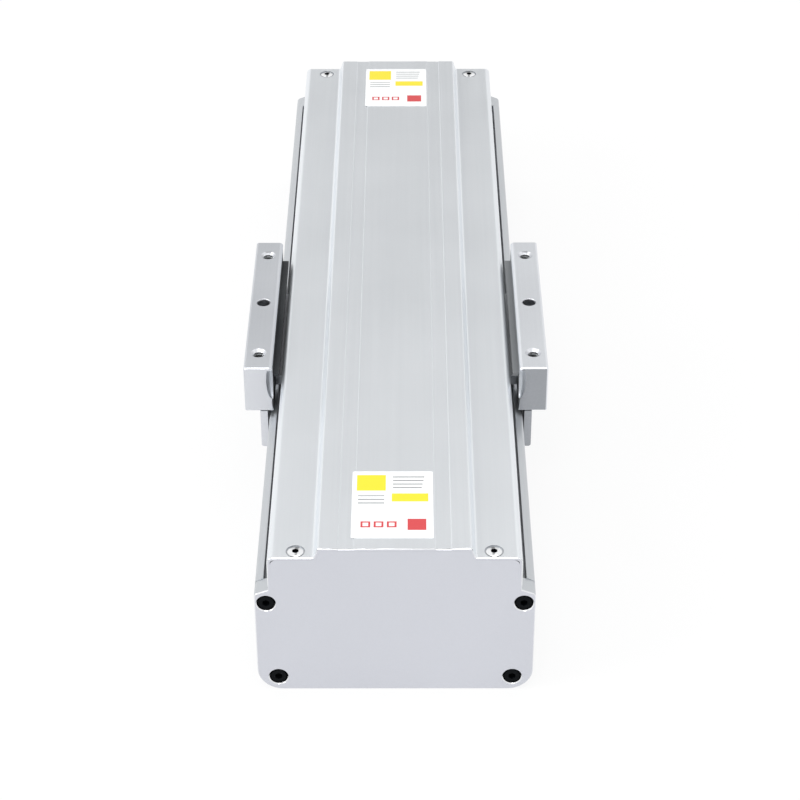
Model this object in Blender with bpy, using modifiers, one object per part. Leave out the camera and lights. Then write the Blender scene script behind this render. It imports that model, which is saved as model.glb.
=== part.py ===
"""Ball screw linear module, semi-enclosed, with a fixed top cover and a carriage on two side wings.

Metres, +Z up. The screw runs along Y, the closed idle end is at -Y and the motor end at +Y.
The origin is the middle of the footprint, on the underside.
"""
import math

import bmesh
import bpy
from mathutils import Vector

# Clearances
GAP = 0.0003                    # between pieces that seat on each other
SLIDE_GAP = 0.0010              # round the carriage where it passes the body
WELD = 0.0010                   # overlap of shapes that are joined into one piece
CUT_PAST = 0.0010               # reach of a cutter beyond the face that it opens

# Body extrusion
BODY_LENGTH = 0.4640
BODY_WIDTH = 0.1200
FOOT_RADIUS = 0.0110
FLOOR = 0.0120
WALL_TOP_INNER = 0.0556
WALL_TOP_OUTER = 0.0533
WALL = 0.0070
WALL_LIP = 0.0040
RAIL_SEAT = 0.0220
SEAT_WIDTH = BODY_WIDTH / 6
UNDER_SLOT_INSET = 0.0220       # from the side of the body to the slot's middle
UNDER_SLOT_MOUTH = 0.0062
UNDER_SLOT_LIP = 0.0030
UNDER_SLOT_WIDTH = 0.0110
UNDER_SLOT_DEPTH = 0.0072
SIDE_SLOT_Z = 0.0270
SIDE_SLOT_MOUTH = 0.0052
SIDE_SLOT_LIP = 0.0015
SIDE_SLOT_WIDTH = 0.0068
SIDE_SLOT_DEPTH = 0.0045
PORT_BOSS = 0.0036              # metal on the inner side of an upper screw port
PORT_BOSS_LOW = 0.0044          # and below it, to where it slopes back into the wall
PORT_BOSS_SLOPE = 0.0016
WALL_EDGE = 0.0020              # roundings of the section
INNER_EDGE = 0.0004
BOSS_EDGE = 0.0005
FLOOR_EDGE = 0.0015

# Ends
CAP_THICKNESS = 0.0085
MOTOR_PLATE = 0.0120
END_CHAMFER = 0.0004
UPPER_PORT_INSET = 0.0050
UPPER_PORT_Z = 0.0484
LOWER_PORT_INSET = 0.0091
LOWER_PORT_Z = 0.0072
PORT_SCREW = 0.0040
PORT_SCREW_HEAD = 0.0070
PORT_SCREW_HEAD_HEIGHT = 0.0040
PORT_SCREW_LENGTH = 0.0140
COUNTERBORE = 0.0080
COUNTERBORE_DEPTH = 0.0046
PILOT_BORE = 0.0500
MOTOR_BOLT_CIRCLE = 0.0700
MOTOR_BOLT = 0.0042

# Top cover
COVER_TOP = 0.0780
COVER_SHEET = 0.0014
PLATEAU_INSET = 0.0216          # from the cover's side to the plateau
RAMP_RUN = 0.0017
SHOULDER_TOP = 0.0731
COVER_WING_GAP = 0.0040         # from the cover's side to the wing
COVER_CORNER = 0.0028
COVER_SKIRT = 0.0640            # height of the lower edge of the cover's sides
RAMP_FOLD = 0.0012
PLATEAU_FOLD = 0.0007
STEP_EDGE = 0.0006
CHANNEL_WIDTH = 0.0070
CHANNEL_INSET = 0.0084          # from the plateau's edge
CHANNEL_DEPTH = 0.0004
COVER_SCREW_INSET = 0.0121      # from the cover's side
COVER_SCREW_NEAR = 0.0046
COVER_SCREW_FAR = 0.0072
COVER_SCREW = 0.0040
COVER_SCREW_HEAD = 0.0076
COVER_SCREW_DOME = 0.0013
COVER_SEAT = 0.0086             # sunk seat of the screw's head in the cover
COVER_SEAT_DEPTH = 0.0009
COVER_SCREW_LENGTH = 0.0090
COVER_SCREW_RIM = 0.35          # share of the dome's height that is its upright rim

# Carriage
TABLE_TOP = 0.0800
REST_SHARE = 0.434              # of the stroke that lies on the idle side of the carriage at rest
STOP_CLEARANCE = 0.0005
WING_OVERHANG = 0.0041          # of the wing beyond each end of the plate
WING_OVERLAP = 0.0020           # of the wing over the body's wall
WING_WIDTH = 0.0134
TABLE_EDGE = 0.0010
WING_BOTTOM = 0.0557
WING_CORNER = 0.0020
WING_INNER_CORNER = 0.0018
WING_CHAMFER = 0.0008
SCOOP_LENGTH = 0.0045           # hollow in the inner side at each end of a wing
SCOOP_WIDTH = 0.0040
SCOOP_HALF_HEIGHT = 0.0100
SCOOP_MIDDLE = 0.0075           # below the wing's top
SCOOP_TOP = 0.0016
ARM_THICKNESS = 0.0053
ARM_SETBACK = 0.0169            # of the arms from each end of the plate
TABLE_RISE = 0.0005             # of the plate over the arms
LEDGE_TOP = 0.0727
LEDGE_THICKNESS = 0.0015
LEDGE_SETBACK = 0.0064          # from each end of the wing
LEDGE_GAP = 0.0011
TABLE_HOLE_INSET = 0.0065       # from the wing's outer side
TABLE_HOLE_PITCH = 0.0450
TABLE_TAP = 0.0052
TABLE_TAP_MOUTH = 0.0076
TABLE_TAP_DEPTH = 0.0150
DOWEL_HOLE = 0.0060
DOWEL_DEPTH = 0.0100
FLAG_GAP = 0.0008
FLAG_WIDTH = 0.0046
FLAG_LENGTH = 0.0080
FLAG_FOOT_LENGTH = 0.0240
FLAG_FOOT = 0.0030
FLAG_TIP = 0.0348
FLAG_SETBACK = 0.0004
FLAG_CORNER = 0.0015

# Profiled rails and runner blocks
RAIL_INSET = BODY_WIDTH * 53 / 240          # from the side of the body to the rail's middle
RAIL_WIDTH = BODY_WIDTH / 8
RAIL_HEIGHT = 0.0150
RAIL_WAIST = 0.0013
RAIL_LEVELS = (0.30, 0.45, 0.70, 0.84)      # shares of the height where the waist starts and ends
RAIL_EDGE = 0.0006
RAIL_HOLE_PITCH = 0.0600
RAIL_HOLE = 0.0045
RAIL_HOLE_HEAD = 0.0075
RAIL_HOLE_HEAD_DEPTH = 0.0053
BLOCK_SIDE = 0.0009             # from the block to the boss on the wall
BLOCK_LENGTH = 0.0400
BLOCK_STEEL = 0.0280
BLOCK_ASSEMBLY = 0.0240         # from the rail's seat to the block's top
BLOCK_RISE = 0.0043             # from the rail's seat to the block's underside
BLOCK_END_INSET = 0.0005
BLOCK_LEVELS = (0.80, 0.68, 0.49, 0.37)     # shares of the rail's height where its ridge starts and ends
BLOCK_FOOT_EDGE = 0.0006
BLOCK_TOP_EDGE = 0.0010
BLOCK_CLEARANCE = 0.00085       # from the blocks to the nut's flange and bracket
RUN_GAP = 0.0004
BLOCK_BOLT_INSET = 0.0040       # from the block's side
BLOCK_BOLT_Y = 0.0090
BLOCK_BOLT = 0.0045

# Ball screw and nut
SCREW_Z = 0.0320
SCREW_DIAMETER = BODY_WIDTH * 2 / 15
NUT_TABLE_GAP = 0.0006          # from the nut to the carriage above it
NUT_FLANGE = BODY_WIDTH * 2 / 5
NUT_FLOOR_GAP = 0.0010          # from the flange's flat to the body's floor
NUT_FLANGE_THICKNESS = 0.0100
NUT_LENGTH = 0.0450
NUT_BOLT_CIRCLE = BODY_WIDTH * 19 / 60
NUT_BOLT = 0.0055
NUT_BOLT_ANGLE = 32.0           # degrees above and below the level line
BRACKET_GAP = 0.0035            # from the rails to the nut's bracket
BRACKET_LENGTH = 0.0160
BRACKET_FOOT = 0.0140
BRACKET_CHAMFER = 0.0050
TURNED_EDGE = 0.0006            # broken edges of turned pieces

# Idle end bearing
IDLE_HOUSING = 0.0156
IDLE_TAIL = 0.0020              # of the journal beyond its ring
IDLE_JOURNAL = 0.0120
IDLE_RING = BODY_WIDTH * 7 / 30
IDLE_RING_WIDTH = 0.0080
IDLE_LIP = 0.0035
CIRCLIP = 0.0010
CIRCLIP_DEPTH = 0.0010
CIRCLIP_RADIAL = 0.0026
CIRCLIP_MOUTH = 50.0            # degrees

# Drive end bearings
DRIVE_HOUSING = 0.0300
COUPLING_ROOM = 0.0297          # from the housing to the motor plate
COLLAR_STEP = 0.0010            # of the collar out of the housing
NUT_THREAD_PAST = 0.0008
STUB_SHORT = 0.0005             # of the stub inside its hub
DRIVE_JOURNAL = 0.0150
DRIVE_RING = 0.0350
DRIVE_RING_WIDTH = 0.0110
DRIVE_LIP = 0.0040
SCREW_COLLAR = 0.0200
RACE_SHARE = 0.30               # radial share of a bearing ring
LOCK_NUT = 0.0250
LOCK_NUT_WIDTH = 0.0070
COVER_RING = 0.0380
COVER_RING_THICKNESS = 0.0040
HOUSING_SIDE = 0.0005           # of the rails' seats beyond the housing
KEEL_GAP = 0.0010               # from the rails' seats to the housings' keels
HOUSING_EDGE = 0.0010
HOUSING_SHOULDER = 0.0360
HOUSING_HEAD = 0.0540
HOUSING_TOP = 0.0600
HOUSING_FILLET = 0.0040
BUMPER = 0.0040
BUMPER_WIDTH = 0.0280
BUMPER_BASE = 0.0480
BUMPER_CORNER = 0.0020

# Coupling
HUB = 0.0300
HUB_LENGTH = 0.0125
HUB_SETBACK = 0.0016
DRIVE_STUB = 0.0120
MOTOR_SHAFT = 0.0140
JAW_LENGTH = 0.0058
JAW_ANGLE = 58.0                # degrees
JAW_INNER = 0.0085
JAW_SHORT = 0.0002              # of the jaws inside the hub's rim
SPIDER_SHORT = 0.0005
SPIDER_RING = 0.0080

# Facets
PILOT_ROUND = 40                # sides of the motor's pilot bore
BORE_ROUND = 32                 # sides of bearing rings and their bores
ROUND = 24                      # sides of the screw line's pieces
SMALL_ROUND = 12                # sides of screws and small holes
HIDDEN_ROUND = 8                # sides of bolt holes inside

# Places that follow from the sizes above
NEAR_FACE = -BODY_LENGTH / 2
FAR_FACE = BODY_LENGTH / 2
BODY_NEAR = NEAR_FACE + CAP_THICKNESS + GAP
BODY_FAR = FAR_FACE - MOTOR_PLATE - GAP
HALF_WIDTH = BODY_WIDTH / 2
WALL_INNER = HALF_WIDTH - WALL
UNDER_SLOT_X = HALF_WIDTH - UNDER_SLOT_INSET
UPPER_PORT = (HALF_WIDTH - UPPER_PORT_INSET, UPPER_PORT_Z)
LOWER_PORT = (HALF_WIDTH - LOWER_PORT_INSET, LOWER_PORT_Z)
RAIL_X = HALF_WIDTH - RAIL_INSET
BLOCK_WIDTH = 2 * (UPPER_PORT[0] - PORT_BOSS - BLOCK_SIDE - RAIL_X)
BLOCK_BOLT_X = BLOCK_WIDTH / 2 - BLOCK_BOLT_INSET
NUT_FLATS = 2 * (SCREW_Z - FLOOR - NUT_FLOOR_GAP)
BRACKET_WIDTH = 2 * (RAIL_X - RAIL_WIDTH / 2 - BRACKET_GAP)
HOUSING_HALF = RAIL_X + SEAT_WIDTH / 2 - HOUSING_SIDE
KEEL_HALF = RAIL_X - SEAT_WIDTH / 2 - KEEL_GAP
WING_INNER = HALF_WIDTH - WING_OVERLAP
WING_OUTER = WING_INNER + WING_WIDTH
TABLE_HOLE_X = WING_OUTER - TABLE_HOLE_INSET
COVER_HALF = WING_INNER - COVER_WING_GAP
COVER_SCREW_X = COVER_HALF - COVER_SCREW_INSET
PLATEAU_HALF = COVER_HALF - PLATEAU_INSET
CHANNEL_OUTER = PLATEAU_HALF - CHANNEL_INSET
CHANNEL_INNER = CHANNEL_OUTER - CHANNEL_WIDTH
SHEET_TURN = math.tan(math.atan2(COVER_TOP - SHOULDER_TOP, RAMP_RUN) / 2)
RAMP_INNER_FOOT = PLATEAU_HALF + RAMP_RUN - COVER_SHEET * SHEET_TURN
NUT_GROUP = NUT_FLANGE_THICKNESS + GAP + BRACKET_LENGTH
TABLE_LENGTH = 2 * BLOCK_LENGTH + NUT_GROUP + 2 * BLOCK_CLEARANCE
WING_LENGTH = TABLE_LENGTH + 2 * WING_OVERHANG
IDLE_NEAR = BODY_NEAR
IDLE_FAR = IDLE_NEAR + IDLE_HOUSING
IDLE_STOP = IDLE_FAR + GAP + BUMPER
DRIVE_FAR = BODY_FAR - COUPLING_ROOM
DRIVE_NEAR = DRIVE_FAR - DRIVE_HOUSING
DRIVE_STOP = DRIVE_NEAR - GAP - BUMPER
STROKE = DRIVE_STOP - IDLE_STOP - TABLE_LENGTH - 2 * STOP_CLEARANCE
REST_Y = IDLE_STOP + STOP_CLEARANCE + TABLE_LENGTH / 2 + REST_SHARE * STROKE
BLOCK_TOP = RAIL_SEAT + GAP + BLOCK_ASSEMBLY
TABLE_UNDERSIDE = BLOCK_TOP + GAP
NUT_DIAMETER = 2 * (TABLE_UNDERSIDE - SCREW_Z - NUT_TABLE_GAP)
ARM_BOTTOM = WALL_TOP_INNER + SLIDE_GAP
ARM_TOP = ARM_BOTTOM + ARM_THICKNESS
TABLE_PLATE_TOP = ARM_TOP + TABLE_RISE
BLOCK_Y = (TABLE_LENGTH - BLOCK_LENGTH) / 2
FLANGE_NEAR = REST_Y - NUT_GROUP / 2
FLANGE_FAR = FLANGE_NEAR + NUT_FLANGE_THICKNESS
RAIL_NEAR = BODY_NEAR + GAP
RAIL_FAR = DRIVE_NEAR - GAP


def fresh_start():
    """Empty the file and make one collection for the parts and one for the cutters."""
    for item in list(bpy.data.objects):
        bpy.data.objects.remove(item, do_unlink=True)
    made = []
    for name in ("Ball screw linear module", "Cutters"):
        group = bpy.data.collections.new(name)
        bpy.context.scene.collection.children.link(group)
        made.append(group)
    return made


PARTS, CUTTERS = fresh_start()


def paint(name, colour, metallic, roughness):
    """One plain Principled material."""
    material = bpy.data.materials.new(name)
    material.use_nodes = True
    shader = material.node_tree.nodes["Principled BSDF"]
    shader.inputs["Base Color"].default_value = (*colour, 1.0)
    shader.inputs["Metallic"].default_value = metallic
    shader.inputs["Roughness"].default_value = roughness
    return material


ANODISED = dict(colour=(0.66, 0.68, 0.71), metallic=0.85, roughness=0.42)
BARE_STEEL = dict(colour=(0.55, 0.56, 0.58), metallic=1.0, roughness=0.25)
BLACK_STEEL = dict(colour=(0.02, 0.02, 0.022), metallic=0.8, roughness=0.45)
RUBBER = dict(colour=(0.03, 0.03, 0.03), metallic=0.0, roughness=0.85)
ORANGE_RUBBER = dict(colour=(0.60, 0.10, 0.04), metallic=0.0, roughness=0.60)


def place(name, mesh, group):
    """Link a mesh as an object of that name."""
    made = bpy.data.objects.new(name, mesh)
    group.objects.link(made)
    return made


def finish(made, look):
    """Give a visible piece its own material and smooth round faces."""
    made.data.materials.append(paint(made.name, **look))
    made.data.shade_smooth()
    made.data.set_sharp_from_angle(angle=math.radians(35))
    return made


def as_cutter(made):
    """Hide a shape that only cuts or joins."""
    made.hide_render = True
    made.display_type = "WIRE"
    return made


def boolean(target, other, operation="DIFFERENCE", solver="EXACT"):
    """Cut or join the target with another mesh, which stays in the cutters' collection."""
    step = target.modifiers.new(other.name, "BOOLEAN")
    step.object = as_cutter(other)
    step.operation = operation
    step.solver = solver
    return target


def rounded(corners, steps=5):
    """Outline points from (x, z, radius) corners, each radius as an arc."""
    points = []
    for index, (x, z, radius) in enumerate(corners):
        corner = Vector((x, z))
        if radius <= 0:
            points.append(corner)
            continue
        before = (Vector(corners[index - 1][:2]) - corner).normalized()
        after = (Vector(corners[(index + 1) % len(corners)][:2]) - corner).normalized()
        half = before.angle(after) / 2
        centre = corner + (before + after).normalized() * radius / math.sin(half)
        first = corner + before * radius / math.tan(half) - centre
        last = corner + after * radius / math.tan(half) - centre
        sweep = math.atan2(first.x * last.y - first.y * last.x, first.dot(last))
        for step in range(steps + 1):
            turn = sweep * step / steps
            points.append(centre + Vector((
                first.x * math.cos(turn) - first.y * math.sin(turn),
                first.x * math.sin(turn) + first.y * math.cos(turn))))
    return points


def both_sides(half):
    """A symmetric outline from the corners of its right half."""
    return half + [(-x, z, radius) for x, z, radius in reversed(half)]


def circle(x, z, diameter, sides=SMALL_ROUND):
    """Points round a circle."""
    return [Vector((x + diameter / 2 * math.cos(math.tau * side / sides),
                    z + diameter / 2 * math.sin(math.tau * side / sides))) for side in range(sides)]


def sector(inner, outer, middle, width, steps=6):
    """Points round a piece of a ring, with angles in degrees."""
    angles = [math.radians(middle - width / 2 + width * step / steps) for step in range(steps + 1)]
    far_side = [Vector((outer * math.cos(angle), outer * math.sin(angle))) for angle in angles]
    near_side = [Vector((inner * math.cos(angle), inner * math.sin(angle))) for angle in reversed(angles)]
    return far_side + near_side


def prism(name, loops, start, end, group=None, across=False, chamfer=0.0):
    """A flat outline in XZ drawn out along Y, or in YZ along X where across is set."""
    outline = bpy.data.curves.new(name, "CURVE")
    outline.dimensions = "2D"
    outline.fill_mode = "BOTH"
    outline.extrude = (end - start) / 2
    for loop in loops:
        spline = outline.splines.new("POLY")
        spline.points.add(len(loop) - 1)
        for point, place_at in zip(spline.points, loop):
            point.co = (place_at[0], place_at[1], 0.0, 1.0)
        spline.use_cyclic_u = True
    drawn = place(name + " outline", outline, CUTTERS)
    middle = (start + end) / 2
    drawn.location = (middle, 0, 0) if across else (0, middle, 0)
    drawn.rotation_euler = (math.pi / 2, 0, math.pi / 2 if across else 0)
    bpy.context.view_layer.update()
    mesh = bpy.data.meshes.new_from_object(drawn.evaluated_get(bpy.context.evaluated_depsgraph_get()))
    mesh.name = name
    mesh.transform(drawn.matrix_world)
    bpy.data.objects.remove(drawn, do_unlink=True)
    work = bmesh.new()
    work.from_mesh(mesh)
    bmesh.ops.remove_doubles(work, verts=work.verts, dist=0.00001)
    bmesh.ops.dissolve_limit(work, angle_limit=math.radians(0.5), verts=work.verts, edges=work.edges)
    bmesh.ops.recalc_face_normals(work, faces=work.faces)
    work.to_mesh(mesh)
    work.free()
    made = place(name, mesh, group or PARTS)
    if chamfer:
        edge = made.modifiers.new("Edges", "BEVEL")
        edge.width = chamfer
        edge.segments = 1
        edge.limit_method = "ANGLE"
        edge.angle_limit = math.radians(60)
    return made


def block(name, low, high, group=None):
    """A box between two corners."""
    bpy.ops.mesh.primitive_cube_add(size=1.0)
    made = bpy.context.active_object
    made.name = name
    made.data.name = name
    low, high = Vector(low), Vector(high)
    for vertex in made.data.vertices:
        vertex.co = [(low[axis] + high[axis]) / 2 + vertex.co[axis] * (high[axis] - low[axis])
                     for axis in range(3)]
    for holder in list(made.users_collection):
        holder.objects.unlink(made)
    (group or PARTS).objects.link(made)
    return made


def turned(name, profile, x=0.0, z=SCREW_Z, closed=False, sides=ROUND, group=None, upright_at=None):
    """Turn a (radius, height) profile, far end first, about a line along Y, or along Z at upright_at."""
    mesh = bpy.data.meshes.new(name)
    edges = [(index, index + 1) for index in range(len(profile) - 1)]
    if closed:
        edges.append((len(profile) - 1, 0))
    mesh.from_pydata([(radius, 0.0, height) for radius, height in profile], edges, [])
    made = place(name, mesh, group or PARTS)
    spin = made.modifiers.new("Turn", "SCREW")
    spin.steps = sides
    spin.render_steps = sides
    spin.use_merge_vertices = True
    spin.merge_threshold = 0.00001
    if upright_at:
        made.location = upright_at
    else:
        made.location = (x, 0, z)
        made.rotation_euler = (-math.pi / 2, 0, 0)
    return made


def rod(name, diameter, start, end, x=0.0, z=SCREW_Z, sides=ROUND, upright_at=None):
    """A plain round cutter between two heights along its line."""
    radius = diameter / 2
    return turned(name, [(0, end), (radius, end), (radius, start), (0, start)], x, z,
                  sides=sides, group=CUTTERS, upright_at=upright_at)


def tube(name, outer, inner, start, end, sides=ROUND):
    """A plain ring on the screw's line."""
    return turned(name, [(outer / 2, end), (outer / 2, start), (inner / 2, start), (inner / 2, end)],
                  closed=True, sides=sides)


def ports():
    """The four screw places of an end, as (name, x, z)."""
    return [(f"{level}_{side}", sign * x, z)
            for level, (x, z) in (("upper", UPPER_PORT), ("lower", LOWER_PORT))
            for side, sign in (("left", -1), ("right", 1))]


def cover_screws():
    """The four cover screw places, as (name, x, y)."""
    return [(f"{end}_{side}", sign * COVER_SCREW_X, y)
            for end, y in (("idle", NEAR_FACE + COVER_SCREW_NEAR), ("motor", FAR_FACE - COVER_SCREW_FAR))
            for side, sign in (("left", -1), ("right", 1))]


def base_extrusion():
    """U-shaped body with rail seats, clamp slots beneath, sensor slots outside and end screw ports."""
    slot = UNDER_SLOT_X
    mouth, chamber = UNDER_SLOT_MOUTH / 2, UNDER_SLOT_WIDTH / 2
    side_mouth, side_chamber = SIDE_SLOT_MOUTH / 2, SIDE_SLOT_WIDTH / 2
    lip_x = HALF_WIDTH - WALL_LIP
    boss_x = UPPER_PORT[0] - PORT_BOSS
    boss_low = UPPER_PORT[1] - PORT_BOSS_LOW
    boss_top = UPPER_PORT[1] + PORT_BOSS
    seat_in, seat_out = RAIL_X - SEAT_WIDTH / 2, RAIL_X + SEAT_WIDTH / 2
    half = [
        (slot - mouth, 0, 0), (slot - mouth, UNDER_SLOT_LIP, 0),
        (slot - chamber, UNDER_SLOT_LIP, 0), (slot - chamber, UNDER_SLOT_DEPTH, 0),
        (slot + chamber, UNDER_SLOT_DEPTH, 0), (slot + chamber, UNDER_SLOT_LIP, 0),
        (slot + mouth, UNDER_SLOT_LIP, 0), (slot + mouth, 0, 0),
        (HALF_WIDTH, 0, FOOT_RADIUS),
        (HALF_WIDTH, SIDE_SLOT_Z - side_mouth, 0),
        (HALF_WIDTH - SIDE_SLOT_LIP, SIDE_SLOT_Z - side_mouth, 0),
        (HALF_WIDTH - SIDE_SLOT_LIP, SIDE_SLOT_Z - side_chamber, 0),
        (HALF_WIDTH - SIDE_SLOT_DEPTH, SIDE_SLOT_Z - side_chamber, 0),
        (HALF_WIDTH - SIDE_SLOT_DEPTH, SIDE_SLOT_Z + side_chamber, 0),
        (HALF_WIDTH - SIDE_SLOT_LIP, SIDE_SLOT_Z + side_chamber, 0),
        (HALF_WIDTH - SIDE_SLOT_LIP, SIDE_SLOT_Z + side_mouth, 0),
        (HALF_WIDTH, SIDE_SLOT_Z + side_mouth, 0),
        (HALF_WIDTH, WALL_TOP_OUTER, WALL_EDGE), (lip_x, WALL_TOP_INNER, INNER_EDGE),
        (lip_x, boss_top, 0), (boss_x, boss_top, BOSS_EDGE),
        (boss_x, boss_low, 0), (WALL_INNER, boss_low - PORT_BOSS_SLOPE, 0),
        (WALL_INNER, FLOOR, FLOOR_EDGE),
        (seat_out, FLOOR, 0), (seat_out, RAIL_SEAT, BOSS_EDGE),
        (seat_in, RAIL_SEAT, BOSS_EDGE), (seat_in, FLOOR, 0),
    ]
    loops = [rounded(both_sides(half))]
    loops += [circle(x, z, PORT_SCREW + 2 * GAP) for _, x, z in ports()]
    return finish(prism("base_extrusion", loops, BODY_NEAR, BODY_FAR), ANODISED)


def cover_outline():
    """Closed section of the cover: plateau, ramps, shoulders and short sides."""
    ramp_foot = PLATEAU_HALF + RAMP_RUN
    side, under = COVER_HALF - COVER_SHEET, SHOULDER_TOP - COVER_SHEET
    outer = [
        (COVER_HALF, COVER_SKIRT, 0), (COVER_HALF, SHOULDER_TOP, COVER_CORNER),
        (ramp_foot, SHOULDER_TOP, RAMP_FOLD), (PLATEAU_HALF, COVER_TOP, PLATEAU_FOLD),
        (CHANNEL_OUTER, COVER_TOP, 0), (CHANNEL_OUTER - CHANNEL_DEPTH, COVER_TOP - CHANNEL_DEPTH, 0),
        (CHANNEL_INNER + CHANNEL_DEPTH, COVER_TOP - CHANNEL_DEPTH, 0), (CHANNEL_INNER, COVER_TOP, 0),
    ]
    inner = [
        (RAMP_INNER_FOOT - RAMP_RUN, COVER_TOP - COVER_SHEET, 0), (RAMP_INNER_FOOT, under, 0),
        (side, under, COVER_CORNER - COVER_SHEET), (side, COVER_SKIRT, 0),
    ]
    left = [(-x, z, radius) for x, z, radius in reversed(outer)]
    under_left = [(-x, z, radius) for x, z, radius in reversed(inner)]
    return rounded(outer + left + under_left + inner)


def top_cover():
    """Fixed cover along the whole module, screwed to both ends."""
    cover = prism("top_cover", [cover_outline()], NEAR_FACE, FAR_FACE)
    over = SHOULDER_TOP + CUT_PAST
    for name, x, y in cover_screws():
        for part, diameter, foot in (("hole", COVER_SCREW + 2 * GAP, SHOULDER_TOP - 2 * COVER_SHEET),
                                     ("seat", COVER_SEAT, SHOULDER_TOP - COVER_SEAT_DEPTH)):
            boolean(cover, rod(f"cover {part} {name}", diameter, foot, over,
                               sides=SMALL_ROUND, upright_at=(x, y, 0)))
    return finish(cover, ANODISED)


def end_outline():
    """Outline of both ends: the body's section below, the inside of the cover above."""
    shoulder = SHOULDER_TOP - COVER_SHEET - GAP
    inner_foot = RAMP_INNER_FOOT - GAP
    half = [
        (HALF_WIDTH, 0, FOOT_RADIUS), (HALF_WIDTH, WALL_TOP_OUTER, WALL_EDGE),
        (COVER_HALF, WALL_TOP_INNER, STEP_EDGE), (COVER_HALF, COVER_SKIRT - GAP, 0),
        (COVER_HALF - COVER_SHEET - GAP, COVER_SKIRT - GAP, 0),
        (COVER_HALF - COVER_SHEET - GAP, shoulder, COVER_CORNER - COVER_SHEET + GAP),
        (inner_foot, shoulder, 0), (inner_foot - RAMP_RUN, COVER_TOP - COVER_SHEET - GAP, 0),
    ]
    return rounded(both_sides(half))


def cut_end_holes(plate, outer_face, inward):
    """Counterbored holes for the end screws and blind holes for the cover screws."""
    head, shank = COUNTERBORE / 2, PORT_SCREW / 2 + GAP
    over = outer_face - inward * CUT_PAST
    step = outer_face + inward * COUNTERBORE_DEPTH
    through = outer_face + inward * 2 * MOTOR_PLATE
    profile = [(0, over), (head, over), (head, step), (shank, step), (shank, through), (0, through)]
    if inward > 0:
        profile.reverse()
    for name, x, z in ports():
        boolean(plate, turned(f"{plate.name} hole {name}", profile, x, z, sides=SMALL_ROUND, group=CUTTERS))
    bottom = SHOULDER_TOP - COVER_SCREW_LENGTH - 2 * GAP
    for name, x, y in cover_screws():
        if abs(y - outer_face) < MOTOR_PLATE:
            boolean(plate, rod(f"{plate.name} cover hole {name}", COVER_SCREW + 2 * GAP, bottom,
                               SHOULDER_TOP + COVER_SHEET, sides=SMALL_ROUND, upright_at=(x, y, 0)))
    return plate


def idle_end_cap():
    """Plain closed end plate."""
    cap = prism("idle_end_cap", [end_outline()], NEAR_FACE, NEAR_FACE + CAP_THICKNESS, chamfer=END_CHAMFER)
    return finish(cut_end_holes(cap, NEAR_FACE, 1), ANODISED)


def motor_plate():
    """Drive end plate with the motor's pilot bore and four tapped holes."""
    plate = prism("motor_plate", [end_outline()], FAR_FACE - MOTOR_PLATE, FAR_FACE, chamfer=END_CHAMFER)
    boolean(plate, rod("pilot bore", PILOT_BORE, FAR_FACE - 2 * MOTOR_PLATE, FAR_FACE + MOTOR_PLATE,
                       sides=PILOT_ROUND))
    for corner in range(4):
        angle = math.radians(45 + 90 * corner)
        x = MOTOR_BOLT_CIRCLE / 2 * math.cos(angle)
        z = SCREW_Z + MOTOR_BOLT_CIRCLE / 2 * math.sin(angle)
        boolean(plate, rod(f"motor hole {corner}", MOTOR_BOLT, FAR_FACE - 2 * MOTOR_PLATE,
                           FAR_FACE + MOTOR_PLATE, x, z, SMALL_ROUND))
    return finish(cut_end_holes(plate, FAR_FACE, -1), ANODISED)


def end_screw(name, x, z, outer_face, inward):
    """Socket head screw of an end plate, head sunk in its counterbore."""
    seat = outer_face + inward * (COUNTERBORE_DEPTH - GAP)
    top = seat - inward * PORT_SCREW_HEAD_HEIGHT
    floor = seat - inward * PORT_SCREW_HEAD_HEIGHT / 2
    tip = seat + inward * PORT_SCREW_LENGTH
    head, socket, shank = PORT_SCREW_HEAD / 2, PORT_SCREW_HEAD / 4, PORT_SCREW / 2
    profile = [(0, floor), (socket, floor), (socket, top), (head, top), (head, seat),
               (shank, seat), (shank, tip), (0, tip)]
    if inward > 0:
        profile.reverse()
    return finish(turned(name, profile, x, z, sides=SMALL_ROUND), BLACK_STEEL)


def cover_screw(name, x, y):
    """Low domed screw, sunk into the cover's shoulder."""
    seat = SHOULDER_TOP - COVER_SEAT_DEPTH + GAP
    head, shank = COVER_SCREW_HEAD / 2, COVER_SCREW / 2
    tip = SHOULDER_TOP - COVER_SCREW_LENGTH
    rim = COVER_SCREW_RIM
    dome = [(head * math.sin(angle), seat + COVER_SCREW_DOME * (rim + (1 - rim) * math.cos(angle)))
            for angle in (math.pi / 2 * step / 3 for step in range(4))]
    profile = dome + [(head, seat), (shank, seat), (shank, tip), (0, tip)]
    return finish(turned(name, profile, sides=SMALL_ROUND, upright_at=(x, y, 0)), BARE_STEEL)


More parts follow.
